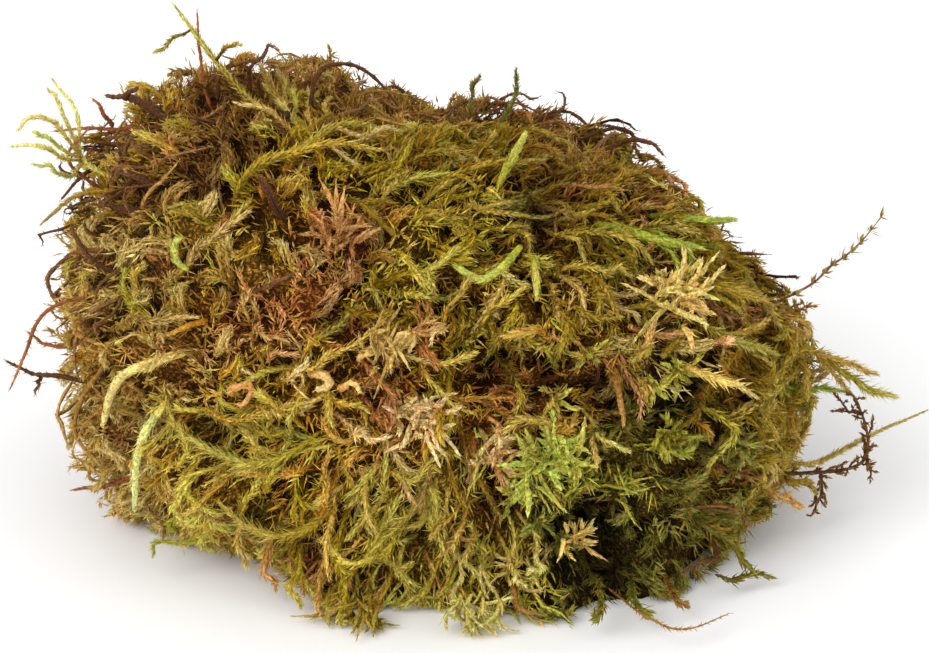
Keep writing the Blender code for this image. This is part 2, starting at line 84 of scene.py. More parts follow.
def dot(a: Array, b: Array) -> Array:
    """The dot products of two arrays of vectors, with the last axis kept."""
    return (a * b).sum(-1, keepdims=True)


def facing(bearing: float, rise: float) -> tuple[float, float, float]:
    """The direction with this bearing from the front and this rise, both in radians."""
    return math.sin(bearing) * math.cos(rise), -math.cos(bearing) * math.cos(rise), math.sin(rise)


def corners_of(mesh: bpy.types.Mesh) -> Array:
    """The mesh's corners in millimetres."""
    points = np.empty(len(mesh.vertices) * 3)
    mesh.vertices.foreach_get("co", points)
    return points.reshape(-1, 3) / MM


def set_tints(mesh: bpy.types.Mesh, tints: Array) -> None:
    """Gives each corner of the mesh its tint."""
    made = mesh.attributes.new("tint", "FLOAT_COLOR", "POINT")
    made.data.foreach_set("color", np.c_[tints, np.ones(len(tints))].astype(np.float32).ravel())


@dataclass(frozen=True)
class Tint:
    """The colours of one kind of moss, from its root to its tips, as linear red, green and blue."""

    root: tuple[float, float, float]
    leaf: tuple[float, float, float]
    tip: tuple[float, float, float]
    spread: float = 0.13  # how much one leaf's brightness differs from the next one's

    def mixed(self, share: Array) -> Array:
        """The colour at each share of the way from root (0) over leaf (0.5) to tip (1)."""
        share = np.clip(share, 0.0, 1.0)[..., None]
        low, mid, high = (np.array(c) for c in (self.root, self.leaf, self.tip))
        return np.where(share < 0.5, low + (mid - low) * share * 2, mid + (high - mid) * (share * 2 - 1))


GOLDEN = Tint((0.25, 0.10, 0.008), (0.48, 0.26, 0.018), (0.63, 0.45, 0.08))
ORANGE = Tint((0.23, 0.08, 0.007), (0.45, 0.20, 0.014), (0.59, 0.34, 0.06))
OLIVE = Tint((0.16, 0.078, 0.006), (0.31, 0.19, 0.013), (0.46, 0.335, 0.055))
LIME = Tint((0.23, 0.125, 0.006), (0.43, 0.295, 0.015), (0.58, 0.47, 0.075))
FRESH = Tint((0.17, 0.13, 0.009), (0.42, 0.40, 0.032), (0.60, 0.59, 0.10))
VIVID = Tint((0.13, 0.125, 0.009), (0.33, 0.36, 0.028), (0.52, 0.56, 0.09))
DEEP = Tint((0.04, 0.028, 0.005), (0.14, 0.115, 0.015), (0.29, 0.26, 0.045))
PEAT = Tint((0.18, 0.12, 0.012), (0.37, 0.31, 0.026), (0.53, 0.48, 0.08))
STRAW = Tint((0.34, 0.17, 0.03), (0.64, 0.43, 0.095), (0.80, 0.60, 0.18))
CREAM = Tint((0.48, 0.20, 0.05), (0.74, 0.46, 0.15), (0.88, 0.66, 0.28))
LEMON = Tint((0.36, 0.24, 0.04), (0.60, 0.49, 0.11), (0.78, 0.70, 0.23))
RUST = Tint((0.26, 0.078, 0.014), (0.48, 0.18, 0.044), (0.62, 0.32, 0.11))
FAWN = Tint((0.28, 0.13, 0.018), (0.47, 0.28, 0.050), (0.61, 0.43, 0.13))
BROWN = Tint((0.12, 0.044, 0.008), (0.25, 0.11, 0.020), (0.39, 0.21, 0.055))
BARK = Tint((0.028, 0.009, 0.004), (0.080, 0.030, 0.011), (0.16, 0.070, 0.026))
TWIG = Tint((0.06, 0.020, 0.007), (0.16, 0.062, 0.022), (0.28, 0.135, 0.050))
REDDISH = Tint((0.08, 0.018, 0.007), (0.20, 0.058, 0.018), (0.32, 0.12, 0.042))
SHOOT = Tint((0.075, 0.028, 0.008), (0.32, 0.19, 0.022), (0.66, 0.51, 0.10))

OLD = (RUST, BROWN, FAWN, ORANGE)  # the colours of what is dying back

# Where the pieces of one kind that face the eye are parted, in millimetres along X.
LEFT_END = -22
RIGHT_END = 12

HEAP = 1.25  # how many millimetres the growth rises or sinks for each unit of heaped()


def heaped(places: Array) -> Array:
    """How far the growth heaps up in tufts (over 0) or sinks in hollows (under 0) at each place."""
    rng = np.random.default_rng(29)
    ways = unit(rng.normal(0, 1, (16, 3))) * math.tau / rng.uniform(6.0, 16.0, (16, 1))
    waves = np.sin(places @ ways.T + rng.uniform(0, math.tau, 16)).sum(-1)
    return np.clip(waves / 2.8, -1.7, 1.3)


@dataclass(frozen=True)
class Hollow:
    """A hole in the growth, where it sinks and its tints are darkened with painted shade."""

    across: float
    up: float
    reach: float  # its half width in millimetres
    depth: float  # how far the growth sinks in it


# Each row: across, up, reach and depth.
HOLLOW_ROWS = (
    # on the crown and behind the bright shoots
    (-43.3, 29.4, 3.5, 2.5),
    (-44, 24.4, 3.0, 2.0),
    (-23, 23, 2.6, 1.6),
    (11.9, 20.3, 4.6, 3.5),
    (17, 24, 3.0, 2.0),
    (24, 9.3, 3.0, 2.0),
    (31, 8.2, 3.0, 2.0),
    (39, 4.8, 3.2, 2.0),
    # under the brow in the middle
    (5.5, -6.8, 3.8, 3.8),
    (14.4, -9.8, 3.8, 3.6),
    (-3, 4.4, 3.0, 2.0),
    (-22, 0.6, 3.0, 2.0),
    (25.6, -13.4, 3.6, 3.6),
    (37, -14.7, 3.6, 2.0),
    # among the golden feather moss
    (-43.7, -17.6, 3.4, 4.4),
    (-41, -24.3, 2.6, 2.5),
    (-35.4, -34, 4.4, 5.5),
    (-27, -36.5, 3.0, 2.5),
    (-20.8, -29, 2.2, 2.0),
    (-8.2, -36.4, 3.0, 3.2),
    (-3, -18, 2.4, 2.0),
    (6, -30, 3.0, 2.6),
    # at the lower right
    (19, -35, 5.5, 5.0),
    (24, -42, 6.0, 4.5),
)
HOLLOWS = [Hollow(*row) for row in HOLLOW_ROWS]


@dataclass
class Ground:
    """The mat's form, as how far it reaches from its heart in each direction."""

    tree: BVHTree
    turns: int = 240
    rises: int = 121
    within: float = 26.0  # how far it reaches where nothing is hit
    reaches: Array = field(init=False)
    holes: Array = field(init=False)

    def __post_init__(self) -> None:
        """Measures the reach over a table of directions, and finds the hollows."""
        turn = np.linspace(-math.pi, math.pi, self.turns + 1)
        rise = np.linspace(-math.pi / 2, math.pi / 2, self.rises)
        self.reaches = np.empty((len(turn), len(rise)))
        heart = Vector(HEART)
        for i, b in enumerate(turn):
            for j, r in enumerate(rise):
                hit = self.tree.ray_cast(heart, Vector(facing(b, r)))[0]
                self.reaches[i, j] = (hit - heart).length if hit else self.within
        self.holes = np.array([self.seen(h.across, h.up, -0.5 * h.depth) for h in HOLLOWS])

    def reach(self, ways: Array) -> Array:
        """How far the mat reaches along each unit vector."""
        turn = (np.arctan2(ways[..., 0], -ways[..., 1]) + math.pi) / math.tau * self.turns
        rise = (np.arcsin(np.clip(ways[..., 2], -1, 1)) / math.pi + 0.5) * (self.rises - 1)
        i = np.clip(turn.astype(int), 0, self.turns - 1)
        j = np.clip(rise.astype(int), 0, self.rises - 2)
        a, b = turn - i, rise - j
        low = self.reaches[i, j] * (1 - a) + self.reaches[i + 1, j] * a
        high = self.reaches[i, j + 1] * (1 - a) + self.reaches[i + 1, j + 1] * a
        return low * (1 - b) + high * b

    def height(self, places: Array) -> Array:
        """How far each place stands off the mat, along its line from the heart."""
        off = places - HEART
        return np.linalg.norm(off, axis=-1) - self.reach(unit(off))

    def settled(self, places: Array, depth: Array | float) -> Array:
        """The places, moved along their lines from the heart to this depth under the mat's form."""
        ways = unit(places - HEART)
        return HEART + ways * (self.reach(ways) - depth)[..., None]

    def hollow(self, places: Array) -> Array:
        """How far the growth sinks at each place because of the hollows."""
        sunk = np.zeros(places.shape[:-1])
        for hole, centre in zip(HOLLOWS, self.holes):
            away = ((places - centre) ** 2).sum(-1) / hole.reach**2
            sunk = np.maximum(sunk, hole.depth * np.exp(-(away**1.5)))
        return sunk

    def outward(self, places: Array) -> Array:
        """The direction that faces straight out of the mat at each place."""
        steps = np.eye(3) * 1.2
        slopes = [self.height(places + step) - self.height(places - step) for step in steps]
        return unit(np.stack(slopes, axis=-1))

    def sight(self, across: float, up: float) -> tuple[Vector, Vector]:
        """The eye, and the direction in which it sees this place of the view."""
        target = VIEW_MIDDLE + across * RIGHTWARD + up * UPWARD
        return Vector(EYE), Vector(target - EYE).normalized()

    def seen(self, across: float, up: float, lift: float = 0.0) -> Array:
        """A place on the mat, where the eye sees it, and this far outside it."""
        eye, ahead = self.sight(across, up)
        hit = self.tree.ray_cast(eye, ahead)[0]
        if hit is None:
            near = eye + ahead * EYE_DISTANCE
            return self.settled(np.array(near), -lift)
        hit = np.array(hit)
        return hit + unit(hit - HEART) * lift

    def free(self, across: float, up: float, depth: float) -> Array:
        """A place off the mat, on the line of sight, at this depth along +Y."""
        eye, ahead = self.sight(across, up)
        return np.array(eye + ahead * ((depth - eye.y) / ahead.y))

    def turned(self, bearing: float, rise: float, lift: float = 0.0) -> Array:
        """A place on the mat, by its direction from the heart in degrees, and this far outside it."""
        way = np.array(facing(math.radians(bearing), math.radians(rise)))
        return HEART + way * (self.reach(way) + lift)


@dataclass
class Paths:
    """Many strands at once: their points, and a frame at every point."""

    points: Array  # strands, points of each, 3
    out: Array  # strands, 3: which way is out of the mat at the root
    along: Array = field(init=False)
    side: Array = field(init=False)
    up: Array = field(init=False)

    def __post_init__(self) -> None:
        """Carries each strand's frame from its root to its tip."""
        self.along = unit(np.gradient(self.points, axis=1))
        self.side = np.empty_like(self.points)
        side = unit(np.cross(self.along[:, 0], self.out) + 1e-6)
        for k in range(self.points.shape[1]):
            side = unit(side - self.along[:, k] * dot(side, self.along[:, k]))
            self.side[:, k] = side
        self.up = np.cross(self.side, self.along)

    @property
    def lengths(self) -> Array:
        """How long each strand is."""
        return np.linalg.norm(np.diff(self.points, axis=1), axis=-1).sum(1)

    def at(self, share: Array) -> tuple[Array, Array, Array, Array]:
        """Places and frames at shares of the way along, one row of shares for each strand."""
        spot = np.clip(share, 0, 1) * (self.points.shape[1] - 1.0001)
        k = spot.astype(int)
        t = (spot - k)[..., None]
        row = np.arange(len(self.points))[:, None]
        mixed = [a[row, k] * (1 - t) + a[row, k + 1] * t for a in (self.points, self.along, self.side, self.up)]
        return mixed[0], unit(mixed[1]), unit(mixed[2]), unit(mixed[3])


@dataclass
class Tangle:
    """A mesh in the making: many small closed shapes and the tint of each of their corners."""

    name: str
    slot: str
    rng: Random
    gloom: Callable[[Array], Array] | None = None  # how deep in a hollow each place is, which darkens its tints as painted shade
    coarse: float = 1.0  # how much wider, and how much fewer, its leaves are
    corners: list[Array] = field(default_factory=list)
    faces: list[Array] = field(default_factory=list)
    tints: list[Array] = field(default_factory=list)
    rounds: list[Array] = field(default_factory=list)
    count: int = 0

    def add(self, corners: Array, faces: Array, tints: Array, smooth: bool) -> None:
        """Adds copies of one shape.

        Args:
            corners: shapes, corners of each, 3.
            faces: faces of one shape, 3.
            tints: shapes, corners of each, 3.
            smooth: whether its faces are shaded round.
        """
        keep = corners[..., 2].min(1) > BURIED
        corners, tints = corners[keep].copy(), tints[keep]
        high = corners[..., 2]
        bent = FLOOR_GAP + (SOFT_FLOOR - FLOOR_GAP) * np.exp((high - SOFT_FLOOR) * FLOOR_BEND)
        corners[..., 2] = np.where(high < SOFT_FLOOR, bent, high)
        shapes, size = corners.shape[:2]
        if not shapes:
            return
        # painted shade: tints darken where a corner lies deep in a hollow
        if self.gloom:
            tints = tints * np.exp(-0.3 * self.gloom(corners))[..., None]
        starts = self.count + np.arange(shapes) * size
        self.faces.append((faces[None] + starts[:, None, None]).reshape(-1, 3))
        self.corners.append(corners.reshape(-1, 3))
        self.tints.append(tints.reshape(-1, 3))
        self.rounds.append(np.full(shapes * len(faces), smooth))
        self.count += shapes * size

    def leaves(
        self,
        paths: Paths,
        per_mm: float,
        length: float,
        width: float,
        lean: float,
        tint: Tint,
        ripeness: Array | float,
        bare: float = 0.04,
        flat: float = 0.0,
        curl: float = 0.0,
        dead: float = 0.22,
        base: float = 0.0,
    ) -> None:
        """Sets leaves round strands, each a keeled blade of four faces.

        Args:
            paths: the strands.
            per_mm: leaves per millimetre of an average strand.
            length: a leaf's length.
            width: a leaf's width.
            lean: the angle in degrees between leaf and stem.
            tint: the leaves' colours.
            ripeness: added to each strand's place in the tint.
            bare: the share of the stem at the root with no leaves.
            flat: how far the leaves are pressed to the two sides, 0 to 1.
            curl: how far the tips bend back to the stem, as a share of the length.
            dead: how much darker the leaves are at the root, both for dying growth and as painted shade deep in the
                growth.
            base: how far from the middle of the stem a leaf starts.
        """
        rng = self.rng
        strands = len(paths.points)
        per_mm, length, width = per_mm / self.coarse, length * self.coarse**0.4, width * self.coarse
        each = max(3, int(per_mm * paths.lengths.mean()))
        many = (strands, each)
        share = bare + (1 - bare) * (np.arange(each) + rng.uniform(0, 1, many)) / each
        place, along, side, up = paths.at(share)
        turn = GOLDEN_TURN * np.arange(each) + rng.uniform(0, math.tau, (strands, 1))
        turn = turn + rng.normal(0, 0.25, many)
        ring = unit(np.cos(turn)[..., None] * side + (1 - flat) * np.sin(turn)[..., None] * up)
        angle = np.radians(lean * rng.normal(1, 0.26, many)) * (1 - 0.45 * share**3)
        way = unit(np.cos(angle)[..., None] * along + np.sin(angle)[..., None] * ring)
        across = unit(np.cross(along, ring))
        face = np.cross(across, way)
        grown = (0.55 + 0.45 * np.minimum(1, (share - bare) * 6)) * (1 - 0.45 * share**6)
        place = place + ring * (base * grown)[..., None]
        size = (length * rng.normal(1, 0.16, many) * grown)[..., None]
        half = width / 2 * rng.uniform(0.8, 1.2, (*many, 1)) * grown[..., None]
        middle = place + way * size * 0.38
        tip = place + way * size - face * size * curl
        rib = face * size * 0.07
        blade = (place + rib * 0.3, middle + across * half - rib, middle - across * half - rib, tip)
        glow = 0.42 + 0.38 * share + np.reshape(ripeness, (-1, 1)) + rng.normal(0, 0.11, many)
        # dying growth and painted shade: leaves darken towards their strand's root, deep in the growth
        colour = tint.mixed(glow - dead * np.exp(-share * 4))
        colour = colour * np.clip(rng.normal(1, tint.spread, (*many, 1)), 0.35, 1.8)
        colour = colour * (1 + rng.normal(0, 0.06, (strands, 1, 1)) * np.array((1.0, -0.7, 0.5)))
        # painted shade at each leaf's root and painted light at its tip
        shade = np.array((0.8, 0.96, 0.96, 1.15))[None, None, :, None]  # from a leaf's root to its tip
        tints = colour[:, :, None, :] * shade
        faces = np.array(((0, 1, 2), (0, 2, 3), (0, 3, 1), (1, 3, 2)))
        self.add(np.stack(blade, axis=2).reshape(-1, 4, 3), faces, tints.reshape(-1, 4, 3), smooth=False)

    def tubes(
        self,
        paths: Paths,
        radius: Array | float,
        tint: Tint,
        sides: int = 4,
        profile: Sequence[float] = (0.9, 1.0, 0.9, 0.45),
        ripeness: Array | float = 0.0,
        flat: float = 1.0,
        knobs: float = 0.0,
    ) -> None:
        """Sets a closed tube along each strand, pointed at both ends.

        Args:
            paths: the strands.
            radius: the half width, one or for each strand.
            tint: the tubes' colours.
            sides: the faces round a tube.
            profile: how the half width changes from root to tip.
            ripeness: added to each strand's place in the tint.
            flat: thickness as a share of width.
            knobs: how much thicker every other ring is.
        """
        points = paths.points
        strands, rings = points.shape[:2]
        inner = slice(1, rings - 1)
        share = np.linspace(0, 1, rings)[inner]
        scale = np.interp(share, np.linspace(0, 1, len(profile)), profile)
        scale = scale * (1 + knobs * np.where(np.arange(len(scale)) % 2, 1, -1))
        uneven = np.clip(self.rng.normal(1, 0.08, (strands, len(scale))), 0.7, 1.3)
        size = np.reshape(radius, (-1, 1)) * scale * uneven
        turn = (np.arange(sides) / sides * math.tau)[:, None]
        side, up = paths.side[:, inner, None, :], paths.up[:, inner, None, :]
        ring = np.cos(turn) * side + np.sin(turn) * flat * up
        body = points[:, inner, None, :] + ring * size[..., None, None]
        corners = np.concatenate([points[:, :1], body.reshape(strands, -1, 3), points[:, -1:]], axis=1)
        levels = np.concatenate([[0.0], np.repeat(share, sides), [1.0]])
        glow = 0.15 + 0.8 * levels + np.reshape(ripeness, (-1, 1))
        tints = tint.mixed(glow + self.rng.normal(0, 0.05, glow.shape))
        tints = tints * np.clip(self.rng.normal(1, tint.spread * 0.7, (strands, 1, 1)), 0.4, 1.7)
        self.add(corners, tube_faces(rings - 2, sides), tints, smooth=True)

    @property
    def triangles(self) -> int:
        """How many triangles it has so far."""
        return sum(len(f) for f in self.faces)

    def parted(self, most: int) -> list["Tangle"]:
        """The tangle as several, none with more triangles than this."""
        parts = [Tangle(self.name, self.slot, self.rng)]
        starts = np.concatenate([[0], np.cumsum([len(c) for c in self.corners])])
        for corners, faces, tints, rounds, start in zip(self.corners, self.faces, self.tints, self.rounds, starts):
            if parts[-1].triangles and parts[-1].triangles + len(faces) > most:
                number = len(parts) + 1
                parts.append(Tangle(f"{self.name}_{number}", self.slot, self.rng))
            part = parts[-1]
            part.corners.append(corners)
            part.faces.append(faces - start + part.count)
            part.tints.append(tints)
            part.rounds.append(rounds)
            part.count += len(corners)
        return parts

    def build(self, material: bpy.types.Material, *nodes: str) -> bpy.types.Object:
        """Makes the mesh a finished piece that stands for these solids."""
        corners = np.concatenate(self.corners) * MM
        faces = np.concatenate(self.faces)
        mesh = bpy.data.meshes.new(self.name)
        mesh.vertices.add(len(corners))
        mesh.vertices.foreach_set("co", corners.astype(np.float32).ravel())
        mesh.loops.add(faces.size)
        mesh.loops.foreach_set("vertex_index", faces.astype(np.int32).ravel())
        mesh.polygons.add(len(faces))
        mesh.polygons.foreach_set("loop_start", np.arange(0, faces.size, 3, dtype=np.int32))
        mesh.polygons.foreach_set("use_smooth", np.concatenate(self.rounds))
        set_tints(mesh, np.concatenate(self.tints))
        mesh.update(calc_edges=True)
        mesh.validate()
        mesh.materials.append(material)
        piece = bpy.data.objects.new(self.name, mesh)
        bpy.context.scene.collection.objects.link(piece)
        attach(piece, "root")
        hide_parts(*nodes)
        log.info("%s: %d triangles", self.name, len(faces))
        return piece


def tube_faces(rings: int, sides: int) -> Array:
    """The faces of a tube of rings between two end points, which are its first and last corners."""
    faces = []
    last = rings * sides + 1
    for k in range(sides):
        n = (k + 1) % sides
        faces.append((0, 1 + n, 1 + k))
        faces.append((last, last - sides + k, last - sides + n))
        for r in range(rings - 1):
            a, b = 1 + r * sides, 1 + (r + 1) * sides
            faces += [(a + k, a + n, b + n), (a + k, b + n, b + k)]
    return np.array(faces)


def curve_through(points: Sequence[Array], count: int) -> Array:
    """This many points on a smooth line through the given ones."""
    ends = [2 * points[0] - points[1], *points, 2 * points[-1] - points[-2]]
    found = []
    for i in range(count):
        at = i / (count - 1) * (len(points) - 1)
        k = min(int(at), len(points) - 2)
        t = at - k
        a, b, c, d = ends[k : k + 4]
        bend = (2 * a - 5 * b + 4 * c - d) * t**2 + (3 * b - a - 3 * c + d) * t**3
        found.append(0.5 * (2 * b + (c - a) * t + bend))
    return np.array(found)


class Kind(Enum):
    """What grows in a patch: its name as a piece, and the slot of its colours."""

    BRUSH = ("feather_moss", "feather_moss")
    BRAID = ("braided_moss", "feather_moss")
    FUZZ = ("fine_moss", "feather_moss")
    HEADS = ("peat_moss", "peat_moss")
    WOOL = ("dead_fibres", "rust_moss")
    WIRE = ("bare_stems", "bare_stem")
    TENDRIL = ("curled_leaves", "pale_moss")
    SPROUT = ("undergrowth", "feather_moss")


BRUSH, BRAID, FUZZ, HEADS, WOOL, WIRE, TENDRIL, SPROUT = Kind


@dataclass(frozen=True)
class Patch:
    """A stretch of the mat where one sort of moss grows one way."""

    spot: tuple[float, float]  # across and up in the view, or bearing and rise if it is behind
    size: float  # its reach in millimetres
    heading: float  # degrees: 0 is to the right, 90 is up
    wander: float  # degrees: the standard deviation of its strands' headings
    sunk: float  # how much deeper it lies
    glow: float  # how much paler its tints are: riper moss, and painted light where the moss lies lit and painted shade where it lies in shade
    kinds: tuple[tuple[Kind, Tint, float], ...]  # what grows in it, and the share of each
    behind: bool

    def under(self) -> Array:
        """The mean colour of the old growth under it."""
        weights = np.array([w for _, _, w in self.kinds])
        tints = np.array([tint.mixed(np.array(0.22 + self.glow)) for _, tint, _ in self.kinds])
        return weights @ tints / weights.sum()


def patches(rows: Sequence[tuple], behind: bool) -> list[Patch]:
    """The patches whose fields, and then whose kinds, are in these rows."""
    return [Patch(row[:2], *row[2:7], row[7:], behind) for row in rows]


